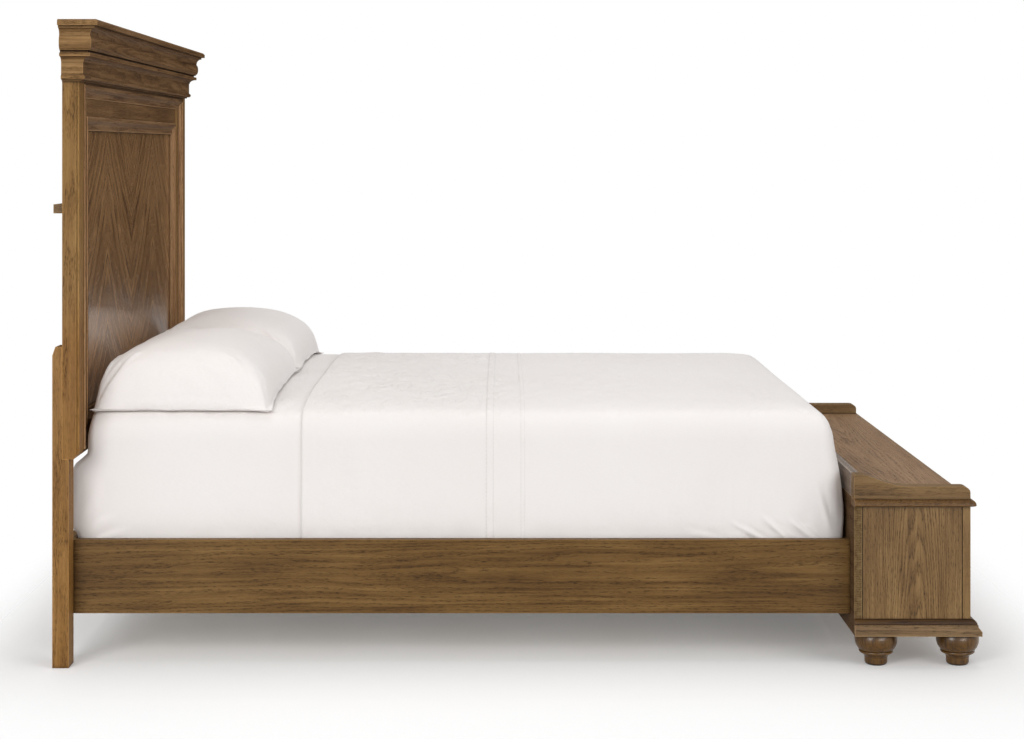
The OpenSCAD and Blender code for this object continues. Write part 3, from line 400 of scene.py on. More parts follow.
def woodMaterial(name, look, grain, seed, centre, half):
    material, tree, shader = startMaterial(name)
    along, across, through = grain(tree, centre)
    start = seed * 1.37
    along = plus(along, start)
    through = calc("PINGPONG", plus(through, seed * 0.013), 0.06)
    # the log's middle lies some way below the face and a little askew to the board
    slow = noise(stretched((along, across, through), (1, 5.0, 1)), 1.6, 2.0)
    bend = times(minus(slow, 0.5), look["wander"] * 2)
    askew = math.sin(seed * 5.1) * 0.015
    sideways = plus(timesPlus(along, askew, across), bend)
    sideways = plus(sideways, math.sin(seed * 2.3) * 0.015 - askew * start)
    rise = math.cos(seed * 3.7) * 0.012 * look["tilt"]
    depth = timesPlus(along, rise, plus(through, look["pith"] - rise * start))
    years = calc("DIVIDE", distance(sideways, depth), look["ring"])
    waver = noise(stretched((along, across, through), (1.3, 16.0, 1)), 1.0, 2.0)
    flutter = noise(stretched((along, across, years), (14.0, 130.0, 1)), 1.0, 2.0)
    years = timesPlus(waver, 5.0, timesPlus(flutter, 0.9, years))
    ring = calc("FRACT", years)
    late = minus(rescale(ring, 0.0, 0.7), rescale(ring, 0.88, 1.0))
    # streaks, blotches and pores
    streak = noise(stretched((along, sideways, through), (1, 26.0, 26.0)), 2.6, 7.0, 0.68)
    blotch = noise(stretched((along, across, through), (1, 2.5, 1)), 3.6, 3.0)
    dash = stretched((along, across, through), (62.0, 420.0, 420.0))
    pore = rescale(noise(dash, 1.0, 2.0, 0.6), 0.50, 0.62)
    fine = stretched((along, across, through), (150.0, 1500.0, 1500.0))
    hair = rescale(noise(fine, 1.0, 1.0), 0.5, 0.7)
    pore = times(pore, timesPlus(late, -0.75, 1.0))
    spread = look["contrast"]
    tone = timesPlus(streak, 1.15 * spread, 0.475 - 0.575 * spread - look["ringShare"] / 2)
    tone = timesPlus(late, look["ringShare"], tone)
    tone = timesPlus(minus(blotch, 0.5), 0.55, tone)
    colour = ramp(tone, (0.12, 0.48, 0.86), look["stain"])
    shade = minus(minus(1.0, times(pore, 1 - look["poreShade"])), times(hair, 0.10))
    colour = tinted(colour, together(shade, shade, shade))
    # painted shade: darker where other surfaces stand close, in corners, recesses and between parts, partly as glaze
    # and partly as the shade that falls there
    corner = addNode(tree, "AmbientOcclusion", {"Distance": look["glazeAndShadeReach"]}, samples=6).outputs["AO"]
    glazeAndShadeMask = rescale(corner, 0.30, 0.95, look["glazeAndShadeShare"], 0.0)
    # convex edges are paler: partly wear where a hand or a cloth rubs, partly a painted highlight along the edge
    face = faceNormal(tree)
    bent = joinNode("VectorMath", {0: roundedEdge(tree, look["wearAndHighlightReach"]), 1: face}, operation="DOT_PRODUCT")
    wearAndHighlight = times(rescale(bent.outputs["Value"], 0.985, 0.88, 0.0, look["wearAndHighlight"]), corner)
    colour = blendColour(wearAndHighlight, colour, tuple(min(1, c * 2.0) for c in look["stain"][2]))
    colour = blendColour(glazeAndShadeMask, colour, look["glazeAndShade"])
    if look.get("joint"):
        # glaze left in the joints along the board's two long edges
        fromEdge = minus(half[0], absolute(place(tree, centre)[0]))
        colour = blendColour(rescale(fromEdge, 0.0, look["joint"], 0.95, 0.0), colour, look["glazeAndShade"])
    # painted light: faces turned to the sides are made lighter than those facing the front, as if the lamps lit them
    # more
    if look.get("paintedSideLight"):
        sideways = rescale(absolute(apart(face)[1]), *look["paintedSideLightFrom"])
        colour = blendColour(sideways, colour, tinted(colour, look["paintedSideLight"]))
    # painted shade: the colour darkens towards the bottom
    if look.get("low"):
        (bottom, top), tint = look["low"]
        paintedShadeBelow = rescale(place(tree)[2], bottom, top, 1.0, 0.0)
        colour = blendColour(paintedShadeBelow, colour, tinted(colour, tint))
    coarse = look["roughness"]
    height = minus(times(late, 0.35), timesPlus(pore, 0.8, hair))
    finish = {
        "Base Color": colour,
        "Roughness": timesPlus(pore, 0.4 * coarse, timesPlus(streak, 0.3 * coarse, 0.85 * coarse)),
        "Specular IOR Level": look["gloss"],
        "IOR": look["ior"],
        "Normal": bumped(height, look["relief"], look["grainDepth"], roundedEdge(tree, look["edge"])),
    }
    feed(shader, finish)
    return material


def finishNode(node, material):
    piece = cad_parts[node]
    if not piece.material_slots:
        piece.data.materials.append(material)
    for slot in piece.material_slots:
        slot.material = material


def frameOf(node):
    low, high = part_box(node)
    return grainFrame(high.y, low.z, high.z)


frontMouldLow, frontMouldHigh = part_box("bench_front_moulding")
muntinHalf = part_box("bench_front_muntin")[1].y
frontFrame = grainFrame(
    (frontMouldHigh.y - muntinHalf) / 2, frontMouldLow.z, frontMouldHigh.z, (frontMouldHigh.y + muntinHalf) / 2
)

# each piece's place in this list is its seed
woodPieces = (
    (oakSide, grainUp, ("headboard_stile_left", "headboard_stile_right")),
    (oakHeadboard, grainY, ("headboard_top_rail", "headboard_bottom_rail")),
    (deal, grainY, ("headboard_panel",)),
    (oakField, grainLeaves, ("panel_veneer",)),
    (oakMoulding, frameOf("outer_moulding"), ("outer_moulding",)),
    (oakMoulding, frameOf("panel_moulding"), ("panel_moulding",)),
    (oak, grainY, ("headboard_back_batten",)),
    (oakHeadboard, grainY, ("cornice_cap",)),
    (oakHeadboard, grainCourse, ("cornice_crown", "cornice_lip", "frieze_board", "astragal")),
    (oakLeg, grainUp, ("headboard_leg_left", "headboard_leg_right")),
    (oak, grainY, ("headboard_cross_rail",)),
    (oakRail, grainX, ("side_rail_left", "side_rail_right")),
    (deal, grainX, ("slat_ledgers",)),
    (deal, grainY, ("bed_slats",)),
    (deal, grainUp, ("centre_legs",)),
    (oak, grainUpFace, ("bench_front_stiles",)),
    (oak, grainY, ("bench_front_top_rail", "bench_front_bottom_rail")),
    (oak, grainUpFace, ("bench_front_muntin",)),
    (oak, grainY, ("bench_front_panels",)),
    (oak, frontFrame, ("bench_front_moulding",)),
    (oakEnd, grainUp, ("bench_end_panel_left", "bench_end_panel_right")),
    (oakBackPaintedShade, grainY, ("bench_back_panel",)),
    (deal, grainY, ("bench_bottom",)),
    (deal, grainUp, ("bench_corner_cleats",)),
    (oakBase, grainCourse, ("base_moulding",)),
    (oakPlinth, grainCourse, ("plinth",)),
    (deal, grainY, ("foot_blocks",)),
    (oakFoot, grainUp, (
        "bun_foot_front_left", "bun_foot_front_right",
        "bun_foot_back_left", "bun_foot_back_right",
    )),
    (oakNose, grainY, ("top_end_boards",)),
    (oakRaised, grainX, ("raised_end_left", "raised_end_right")),
    (oakGalleryPaintedSheen, grainY, ("gallery_back",)),
    (oakTop, grainY, ("lid",)),
    (deal, grainX, ("lid_battens",)),
)
seed = 0
for look, grain, names in woodPieces:
    for node in names:
        seed += 1
        low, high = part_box(node)
        wood = woodMaterial(node + "_wood", look, grain, seed, (low + high) / 2, (high - low) / 2)
        finishNode(node, wood)
print("wood finished,", seed, "pieces")


# hardware
def metalMaterial(name, look):
    material, tree, shader = startMaterial(name)
    spot = place(tree)
    wear = noise(together(*spot), look["spots"], 4.0, 0.6)
    scratch = noise(stretched(spot, (12.0, 1, 1)), look["spots"] * 6, 2.0)
    finish = {
        "Base Color": ramp(wear, (0.3, 0.7), (look["dark"], look["pale"])),
        "Roughness": timesPlus(scratch, 0.2, timesPlus(wear, 0.15, look["roughness"] - 0.17)),
        "Metallic": look["metal"],
        "Normal": bumped(scratch, 0.2, 0.0002),
    }
    feed(shader, finish)
    return material


zinc = {"dark": (0.42, 0.42, 0.43), "pale": (0.60, 0.60, 0.60), "roughness": 0.38, "metal": 0.95, "spots": 60.0}
bronze = {"dark": (0.10, 0.075, 0.05), "pale": (0.22, 0.17, 0.12), "roughness": 0.42, "metal": 0.9, "spots": 50.0}
nylon = {"dark": (0.018, 0.018, 0.018), "pale": (0.035, 0.035, 0.035), "roughness": 0.6, "metal": 0.0, "spots": 80.0}
zincPlate = metalMaterial("zinc_plate", zinc)
for node in ("leg_bolts", "rail_brackets", "rail_bolts", "slat_screws", "foot_bolts", "lid_hinge_pins"):
    finishNode(node, zincPlate)
darkBronze = metalMaterial("dark_bronze", bronze)
for node in ("lid_hinge_fixed_leaves", "lid_hinge_moving_leaves"):
    finishNode(node, darkBronze)
finishNode("centre_leg_glides", metalMaterial("glide_nylon", nylon))
print("hardware finished")


# cloth materials, woven along the piece's own UV map, which is in metres
def clothMaterial(name, look):
    material, tree, shader = startMaterial(name)
    warp, weft, _ = apart(addNode(tree, "UVMap", uv_map="weave").outputs["UV"])
    turn = 2 * math.pi / look["thread"]
    weave = times(*(calc("SINE", times(thread, turn)) for thread in (warp, weft)))
    x, y, z = place(tree)
    cloud = noise(together(x, y, z), look["clouds"], 3.0, 0.55)
    slub = noise(stretched((warp, weft, 0.0), (90.0, 900.0, 1)), 1.0, 2.0)
    tone = timesPlus(slub, 0.35, times(cloud, 0.65))
    colour = ramp(tone, (0.3, 0.7), (look["dark"], look["pale"]))
    for line, halfWide, shade in look["stitches"]:
        # rows of drawn thread, open between the stitches, drawn darker: the thread's own pattern and painted shadow
        # in its holes
        off = absolute(minus(x, line))
        beat = calc("SINE", times(plus(y, z), 2 * math.pi / look["stitchLong"]))
        gap = rescale(beat, -0.4, 0.4, 0.5, 1.0)
        drawnThreadAndShadow = times(rescale(off, 0.0, halfWide * 1.6, shade, 0.0), gap)
        colour = blendColour(drawnThreadAndShadow, colour, tuple(c * 0.55 for c in look["dark"]))
    threads = bumped(timesPlus(slub, 0.8, weave), look["relief"], look["threadDepth"])
    # creases pressed into the cloth, of two sizes
    drawn = together(x, times(y, look["creaseLong"]), z)
    soft = noise(drawn, look["creases"], 2.0, 0.5)
    sharp = noise(drawn, look["creases"] * 2.3, 3.0, 0.55)
    ridge = minus(1.0, absolute(timesPlus(sharp, 6.0, -3.0)))
    ridge = timesPlus(calc("MAXIMUM", ridge, 0.0), 0.5, soft)
    spread = rescale(noise(together(x, y, z), 2.3, 1.0), 0.35, 0.62, 0.15, 0.7)
    for start, end, share in look["creased"]:
        off = absolute(minus(x, (start + end) / 2))
        spread = plus(spread, rescale(off, (end - start) * 0.3, (end - start) * 0.5, share, 0.0))
    # a sheet lies smoother down its side than on top
    above = rescale(z, look["smoothBelow"] - 0.05, look["smoothBelow"], 0.12, 1.0)
    ridge = times(ridge, times(spread, above))
    finish = {
        "Base Color": colour,
        "Roughness": timesPlus(slub, 0.1, look["roughness"] - 0.05),
        "Specular IOR Level": look["gloss"],
        "Sheen Weight": look["sheen"],
        "Sheen Roughness": 0.5,
        "Normal": bumped(ridge, look["creaseShare"], look["creaseDepth"], threads),
    }
    feed(shader, finish)
    return material


cotton = {
    "thread": 0.0007,
    "clouds": 1.7,
    "dark": (0.835, 0.790, 0.765),
    "pale": (0.880, 0.845, 0.825),
    "roughness": 0.85,
    "gloss": 0.25,
    "sheen": 0.12,
    "relief": 0.25,
    "threadDepth": 0.00015,
    "stitches": (),
    "stitchLong": 0.011,
    "creases": 7.5,
    "creaseLong": 0.55,
    "creaseShare": 0.68,
    "creaseDepth": 0.007,
    "creased": ((-1.2, -0.55, 0.5),),
    "smoothBelow": 0.68,
}
bandCotton = {
    **cotton,
    "stitches": ((-0.0830, 0.0014, 0.30), (-0.0640, 0.0011, 0.22), (0.0095, 0.0010, 0.20), (0.0195, 0.0010, 0.20)),
    "creased": ((-0.66, 0.06, 1.0), (0.15, 0.85, 0.5)),
}
pillowCotton = {
    **cotton,
    "dark": (0.850, 0.805, 0.780),
    "pale": (0.890, 0.855, 0.835),
    "creases": 7.0,
    "creaseLong": 1.0,
    "creaseShare": 0.28,
    "smoothBelow": 0.0,
}
ticking = {**cotton, "thread": 0.0012, "dark": (0.70, 0.66, 0.58), "pale": (0.78, 0.74, 0.67), "sheen": 0.05}
sheetCloth = clothMaterial("sheet_cotton", cotton)
bandCloth = clothMaterial("band_cotton", bandCotton)
pillowCloth = clothMaterial("pillow_cotton", pillowCotton)
tickingCloth = clothMaterial("ticking_cotton", ticking)


# mesh helpers
def smoothRows(rows, count, fineBelow=None, soft=0.012):
    # the rows' line with its corners rounded off, sampled by its own length, closer below a height
    rows = np.array(rows, float)
    steps = np.linalg.norm(np.diff(rows[:, :2], axis=0), axis=1)
    run = np.concatenate([[0], np.cumsum(steps)])
    fineRun = np.linspace(0, run[-1], 4000)
    fine = np.array([np.interp(fineRun, run, column) for column in rows.T]).T
    half = max(1, int(soft / 2 / run[-1] * 4000))
    kernel = np.ones(2 * half + 1) / (2 * half + 1)
    for _ in range(2):
        for k in range(fine.shape[1]):
            # mirrored through its ends, so that they stay where they are
            ends = [2 * fine[0, k] - fine[half:0:-1, k], fine[:, k], 2 * fine[-1, k] - fine[-2 : -half - 2 : -1, k]]
            fine[:, k] = np.convolve(np.concatenate(ends), kernel, mode="valid")
    steps = np.linalg.norm(np.diff(fine[:, :2], axis=0), axis=1)
    if fineBelow is not None:
        steps = steps * np.where(fine[1:, 0] < fineBelow, 2.2, 1.0)
    run = np.concatenate([[0], np.cumsum(steps)])
    at = np.linspace(0, run[-1], count)
    return np.array([np.interp(at, run, fine[:, k]) for k in range(fine.shape[1])]).T


def gridNormals(points, closed=False):
    if closed:
        alongRow = np.roll(points, -1, axis=1) - np.roll(points, 1, axis=1)
    else:
        alongRow = np.gradient(points, axis=1)
    upRow = np.gradient(points, axis=0)
    normals = np.cross(alongRow, upRow)
    size = np.linalg.norm(normals, axis=2, keepdims=True)
    return normals / np.maximum(size, 1e-12)


def meshPiece(name, verts, faces, spots, material):
    # a smooth piece with each point's place on the cloth, in metres, as its UV map
    mesh = bpy.data.meshes.new(name)
    mesh.from_pydata(verts, [], faces)
    corners = np.empty(len(mesh.loops), int)
    mesh.loops.foreach_get("vertex_index", corners)
    mesh.uv_layers.new(name="weave").data.foreach_set("uv", np.array(spots)[corners].ravel())
    mesh.polygons.foreach_set("use_smooth", [True] * len(mesh.polygons))
    mesh.materials.append(material)
    piece = bpy.data.objects.new(name, mesh)
    bpy.context.collection.objects.link(piece)
    return piece


def standFor(piece, node):
    # the piece takes the plain solid's place in the visual model
    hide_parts(node)
    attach(piece, "root")


def gridPiece(name, points, closed, material, fans=(), zipped=None):
    # a mesh from rows of points; fans end it in single points, and a zipped one is closed
    # across its last row for so many columns, then round a point
    rows, columns = points.shape[:2]
    verts = [tuple(p) for p in points.reshape(-1, 3)]
    faces = []
    lastColumn = columns if closed else columns - 1
    for r in range(rows - 1):
        for c in range(lastColumn):
            d = (c + 1) % columns
            faces.append((r * columns + c, r * columns + d, (r + 1) * columns + d, (r + 1) * columns + c))
    for row, tip, flip in fans:
        tipIndex = len(verts)
        verts.append(tuple(tip))
        for c in range(lastColumn):
            face = (row * columns + c, row * columns + (c + 1) % columns, tipIndex)
            faces.append(face[::-1] if flip else face)
    if zipped:
        start = (rows - 1) * columns
        tipIndex = len(verts)
        verts.append(tuple(points[-1, zipped : columns - zipped].mean(axis=0)))
        for c in range(zipped):
            faces.append((start + c, start + c + 1, start + columns - 2 - c, start + columns - 1 - c))
        ring = [start + c for c in range(zipped, columns - zipped)]
        for a, b in zip(ring, ring[1:] + ring[:1]):
            faces.append((a, b, tipIndex))
    runs = []
    for axis in (1, 0):
        run = np.zeros((rows, columns))
        steps = np.cumsum(np.linalg.norm(np.diff(points, axis=axis), axis=2), axis=axis)
        run[1 - axis :, axis:] = steps
        runs.append(run)
    spots = np.stack(runs, axis=2).reshape(-1, 2)
    spots = np.vstack([spots, np.zeros((len(verts) - rows * columns, 2))])
    return meshPiece(name, verts, faces, spots, material)


def applyModifiers(piece):
    bpy.ops.object.select_all(action="DESELECT")
    piece.select_set(True)
    bpy.context.view_layer.objects.active = piece
    for modifier in list(piece.modifiers):
        bpy.ops.object.modifier_apply(modifier=modifier.name)


def waves(points, seed, size, count=7, stretch=(1, 1, 1)):
    # a smooth seeded ripple from -1 to 1, about size metres from crest to crest
    draw = np.random.RandomState(seed)
    points = points * np.array(stretch)
    total = np.zeros(points.shape[:-1])
    for _ in range(count):
        way = draw.normal(size=3)
        way /= np.linalg.norm(way)
        pace = 2 * np.pi / (size * draw.uniform(0.7, 1.5))
        total += np.sin(points @ way * pace + draw.uniform(0, 6.28))
    return total / math.sqrt(count) / 1.4


def eased(share):
    share = np.clip(share, 0, 1)
    return share * share * (3 - 2 * share)


def within(value, low, high, soft):
    return eased((value - low) / soft + 0.5) * eased((high - value) / soft + 0.5)


def bell(value, width):
    return np.exp(-((value / width) ** 2))


def crease(u, v, start, end, width, height):
    # a fold on a flat stretch of cloth: a ridge that fades at its ends, with a hollow beside it
    start, end = np.array(start), np.array(end)
    run = end - start
    size = np.linalg.norm(run)
    run = run / size
    along = (u - start[0]) * run[0] + (v - start[1]) * run[1]
    side = (v - start[1]) * run[0] - (u - start[0]) * run[1]
    fade = np.clip(along / (0.45 * size), 0, 1) * np.clip((size - along) / (0.35 * size), 0, 1)
    return height * eased(fade) * (bell(side, width) - 0.45 * bell(side - 1.7 * width, width))


# the made bed's surface, from the mattress outwards
mattressLow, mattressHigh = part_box("mattress")
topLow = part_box("top_sheet")[0]
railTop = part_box("side_rail_left")[1].z
bed = {
    "half": mattressHigh.y,
    "foot": mattressHigh.x,
    "head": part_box("headboard_leg_left")[1].x + 0.006,
    "headSet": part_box("headboard_stile_left")[1].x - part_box("headboard_leg_left")[1].x,
    "swell": 0.016,
    "corner": 0.032,
    "headCorner": 0.014,
    "crown": 0.024,
    "hem": topLow.x,
    "low": topLow.z,
}
edgeTop = mattressHigh.z - bed["crown"]
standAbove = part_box("headboard_stile_left")[0].z
# height, how far it stands in from the sides, its own setback at the head
bedRows = [
    (bed["low"], 0.002, 0.004),
    (railTop + 0.010, 0.0, 0.0),
    (railTop + 0.024, 0.0, -bed["swell"]),
    (standAbove - 0.036, 0.0, 0.002 - bed["swell"]),
    (standAbove - 0.004, 0.0, bed["headSet"]),
    (edgeTop - 0.058, 0.0, bed["headSet"]),
    (edgeTop - 0.030, 0.006, bed["headSet"] + 0.001),
    (edgeTop - 0.011, 0.022, bed["headSet"] + 0.002),
    (edgeTop - 0.002, 0.046, bed["headSet"] + 0.002),
    (edgeTop + bed["crown"] * 0.3, 0.105, bed["headSet"]),
    (edgeTop + bed["crown"] * 0.65, 0.230, bed["headSet"]),
    (edgeTop + bed["crown"] * 0.9, 0.400, bed["headSet"]),
    (edgeTop + bed["crown"], 0.620, bed["headSet"]),
]


# the sheets over it
sheets = {
    "thickness": 0.0014,
    "drop": edgeTop - bed["low"] + 0.02,
    "fittedOut": 0.0012,
    "topOut": 0.0030,
    "ripple": 0.0038,
    "still": 0.15,
    "bands": ((-0.0735, 0.0085, 0.0016), (0.0145, 0.0045, 0.0011)),
    # folds down the foot end: place across the bed, width and height
    "footEnd": ((-0.738, 0.010, 0.008), (-0.690, 0.013, 0.007), (-0.610, 0.016, 0.006), (0.52, 0.018, 0.006)),
}

# how far the foot end leans in at a height, and how the head end keeps squarer than the sides
footLean = ((0.32, 0.0), (0.41, 0.003), (0.50, 0.009), (0.587, 0.021), (0.627, 0.027), (0.645, 0.028), (0.665, 0.020))
headShare = (
    (0.0, 0.0), (0.022, 0.003), (0.046, 0.008), (0.105, 0.04), (0.23, 0.17), (0.40, 0.36), (0.62, 0.60), (0.80, 0.79),
)


def straight(start, end, step):
    count = max(2, int(round(np.linalg.norm(np.subtract(end, start)) / step)))
    return [tuple(np.add(start, np.subtract(end, start) * i / count)) for i in range(count)]


def turnRound(centre, radius, fromAngle, count):
    return [
        (centre[0] + radius * math.cos(a), centre[1] + radius * math.sin(a))
        for a in np.radians(np.linspace(fromAngle, fromAngle + 90, count, endpoint=False))
    ]


def bedPlan(step, turnSteps, start=None):
    # plan outline of the bed at its widest: closed, or from a hem round the foot when start is given
    r, half, foot, head = bed["corner"], bed["half"], bed["foot"], bed["head"]
    h = bed["headCorner"]
    b, c, d, a = foot - r, half - r, half - h, head + h
    first = a if start is None else start
    plan = straight((first, -half), (b, -half), step) + turnRound((b, -c), r, -90, turnSteps)
    plan += straight((foot, -c), (foot, c), step) + turnRound((b, c), r, 0, turnSteps)
    if start is not None:
        return plan + straight((b, half), (start, half), step) + [(start, half)]
    plan += straight((b, half), (a, half), step) + turnRound((a, d), h, 90, turnSteps)
    return plan + straight((head, d), (head, -d), step) + turnRound((a, -d), h, 180, turnSteps)


def bedSurface(plan, rows, hem=None):
    # each row draws the plan in towards the middle; a hem keeps its own place along the bed
    plan = np.array(plan)
    low = bed["head"] if hem is None else hem
    points = np.empty((len(rows), len(plan), 3))
    for i, (z, inset, setback) in enumerate(rows):
        x0 = low + (np.interp(inset, *np.array(headShare).T) + setback if hem is None else 0)
        x1 = bed["foot"] - (inset if inset < 0.23 or hem is None else 0.23 + (inset - 0.23) * 0.45)
        x1 -= np.interp(z, *np.array(footLean).T)
        y = bed["half"] - inset
        r = bed["corner"]
        h = bed["headCorner"] if hem is None else 0
        # the straight stretches scale, the corners keep their radius
        spanX = (x1 - x0 - r - h) / (bed["foot"] - low - r - h)
        spanY = (y - r) / (bed["half"] - r)
        px, py = plan[:, 0], plan[:, 1]
        a = low + h
        b = bed["foot"] - r
        middle = np.clip(px, a, b)
        newA = x0 + h
        if hem is None:
            points[i, :, 0] = newA + (middle - a) * spanX + (px - middle)
        else:
            # the sewn bands stay straight across the bed, only the stretch beyond them draws in
            beyond = np.maximum(middle - sheets["still"], 0)
            share = (x1 - r - sheets["still"]) / (b - sheets["still"])
            points[i, :, 0] = np.minimum(middle, sheets["still"]) + beyond * share + (px - middle)
        across = np.clip(py, -(bed["half"] - r), bed["half"] - r)
        points[i, :, 1] = across * spanY + (py - across)
        points[i, :, 2] = z
    return points


def bedHeight(x, y):
    # height of the fitted sheet's top at a point
    fromHead = np.interp(x - bed["head"] - bed["headSet"] - 0.002, *np.array(headShare).T[::-1])
    inward = np.minimum(np.minimum(bed["half"] - np.abs(y), bed["foot"] - x), fromHead)
    rows = [(row[1], row[0]) for row in bedRows if row[0] > edgeTop - 0.058]
    return np.interp(inward, [r[0] for r in rows], [r[1] for r in rows]) + 0.002


# mattress and foundation, under the sheets
def sewTicking(name, rows, node):
    plan = bedPlan(0.05, 6)
    points = bedSurface(plan, rows)
    bottom = (points[0, :, 0].mean(), 0, rows[0][0])
    top = (points[-1, :, 0].mean(), 0, rows[-1][0])
    piece = gridPiece(name, points, True, tickingCloth, ((0, bottom, True), (len(rows) - 1, top, False)))
    standFor(piece, node)
    return piece


# height above the edge and how far the cloth stands in there
mattressEdge = ((0, 0.020), (0.003, 0.008), (0.012, 0.002), (0.022, 0.005))
pipedEdge = ((0, 0.012), (0.002, 0.003), (0.008, 0), (0.016, 0.004))

swell = 0.002 - bed["swell"]
mattressRows = [(mattressLow.z + up, inset, swell) for up, inset in mattressEdge]
mattressRows += [(standAbove - 0.036, 0.003, swell), (standAbove - 0.004, 0.003, bed["headSet"])]
mattressRows += [(z - 0.0005, inset + 0.001, back) for z, inset, back in bedRows if z > edgeTop - 0.06]
mattress = sewTicking("mattress_ticking", smoothRows(mattressRows, 60, None, 0.005), "mattress")

baseLow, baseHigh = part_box("foundation")
baseInset = bed["half"] - baseHigh.y
baseRows = [(baseLow.z + up, baseInset + inset, 0) for up, inset in pipedEdge]
baseRows += [(baseHigh.z - up, baseInset + inset, 0) for up, inset in pipedEdge[::-1]]
sewTicking("foundation_ticking", baseRows, "foundation")
print("mattress and foundation made")


# the sheets' folds, as lines on the bed's side: start, end, width and height
def sideFolds(x, z, strokes):
    total = np.zeros(x.shape)
    for start, end, width, height in strokes:
        total += crease(x, z, start, end, width, height)
    return total


footFolds = (
    ((0.560, 0.372), (0.676, 0.309), 0.0050, 0.0052),
    ((0.600, 0.352), (0.655, 0.318), 0.0040, 0.0030),
    ((0.640, 0.392), (0.736, 0.309), 0.0055, 0.0066),
    ((0.694, 0.360), (0.745, 0.320), 0.0042, 0.0036),
    ((0.712, 0.384), (0.808, 0.307), 0.0058, 0.0070),
    ((0.756, 0.370), (0.822, 0.318), 0.0042, 0.0040),
    ((0.440, 0.348), (0.560, 0.312), 0.0060, 0.0030),
    ((0.795, 0.480), (0.838, 0.335), 0.0090, 0.0050),
)
headFolds = (
    ((-1.160, 0.315), (-1.085, 0.392), 0.008, 0.0060),
    ((-1.150, 0.300), (-1.040, 0.352), 0.007, 0.0045),
    ((-1.165, 0.360), (-1.120, 0.470), 0.012, 0.0045),
)


def liftCloth(points, normals, amount):
    return points + normals * amount[..., None]


def topSheetLift(points):
    x, y, z = points[..., 0], points[..., 1], points[..., 2]
    side = within(z, railTop - 0.05, edgeTop - 0.05, 0.06) * (np.abs(y) > bed["half"] - 0.03)
    top = within(z, edgeTop - 0.03, 2.0, 0.02)
    lift = 0.0006 + 0.0012 * (1 + waves(points, 3, 0.55)) * top
    # puckers on the top, strongest towards the hem
    pucker = np.abs(waves(points, 11, 0.085, 9, (1, 0.55, 0))) * within(np.abs(y), 0.12, 0.60, 0.22)
    lift += sheets["ripple"] * pucker * within(x, -0.56, 0.34, 0.25) * top
    drawn = np.abs(waves(points, 41, 0.050, 9, (0.5, 1, 0))) * within(x, -0.57, -0.40, 0.10)
    lift += 0.0034 * drawn * within(np.abs(y), 0.0, 0.66, 0.15) * top
    lift += 0.0011 * (1 + waves(points, 5, 0.05, 5, (1, 1, 0.15))) * within(x, -0.50, -0.40, 0.05) * side
    hanging = np.abs(waves(points, 43, 0.06, 8, (1, 0, 0.22)))
    lift += 0.0016 * hanging * within(z, railTop, railTop + 0.12, 0.08) * side
    lift += sideFolds(x, z, footFolds) * side
    # folds that run down the foot end beside its near corner
    atFoot = (x > bed["foot"] - 0.045) * within(z, railTop, edgeTop - 0.07, 0.10)
    for start, width, height in sheets["footEnd"]:
        lift += height * bell(y - start - 0.12 * (z - railTop), width) * atFoot
    # the edge is drawn in a little where it is tucked behind the rail
    lift += 0.0016 * (1 + waves(points, 21, 0.09, 6, (1, 1, 0))) * within(z, railTop - 0.08, railTop + 0.012, 0.02)
    for middle, halfWide, height in sheets["bands"]:
        off = np.abs(x - middle)
        lift += height * within(off, -1, halfWide, 0.003)
        lift -= height * 0.8 * bell(off - halfWide - 0.003, 0.002)
        lift += 0.0005 * waves(points, 31, 0.016, 4, (0.4, 1, 1)) * bell(off - halfWide, 0.012)
        lift += 0.0022 * bell(off, 0.03) * within(z, railTop - 0.05, railTop + 0.03, 0.03)
    lift += 0.0008 * within(x - bed["hem"], -1, 0.034, 0.004)
    return np.maximum(lift, 0.0)


def fittedSheetLift(points):
    x, y, z = points[..., 0], points[..., 1], points[..., 2]
    seen = within(x, -9.0, bed["hem"] - 0.02, 0.05)
    side = within(z, railTop - 0.05, edgeTop - 0.05, 0.06) * (np.abs(y) > bed["half"] - 0.07)
    lift = sideFolds(x, z, headFolds) * side
    lift += 0.0010 * (1 + waves(points, 7, 0.30)) * side
    lift += 0.0014 * (1 + waves(points, 23, 0.11, 6, (1, 1, 0))) * within(z, railTop - 0.08, railTop + 0.010, 0.02)
    atHead = bell(x - bed["head"], 0.10) * within(z, railTop, edgeTop, 0.1)
    lift += 0.0018 * atHead * (1 + waves(points, 9, 0.05, 5, (1, 1, 0.4)))
    top = within(z, edgeTop - 0.02, 2.0, 0.02)
    lift += 0.0012 * np.abs(waves(points, 13, 0.11, 7, (1, 0.6, 0))) * top
    return np.maximum(lift, 0.0) * seen


def finishSheet(piece, node):
    # the flat cloth reaches over the bed and down behind the rails
    shell = piece.modifiers.new("thickness", "SOLIDIFY")
    shell.thickness = sheets["thickness"]
    shell.offset = 1.0
    applyModifiers(piece)
    standFor(piece, node)


def makeFittedSheet():
    plan = bedPlan(0.016, 9)
    rows = smoothRows(bedRows, 92, 0.42)
    points = bedSurface(plan, rows)
    normals = gridNormals(points, True)
    points = liftCloth(points, normals, sheets["fittedOut"] - 0.0004 + fittedSheetLift(points))
    tip = (points[-1, :, 0].mean(), 0, points[-1, :, 2].mean())
    piece = gridPiece("fitted_sheet_cloth", points, True, sheetCloth, ((len(rows) - 1, tip, False),))
    finishSheet(piece, "fitted_sheet")


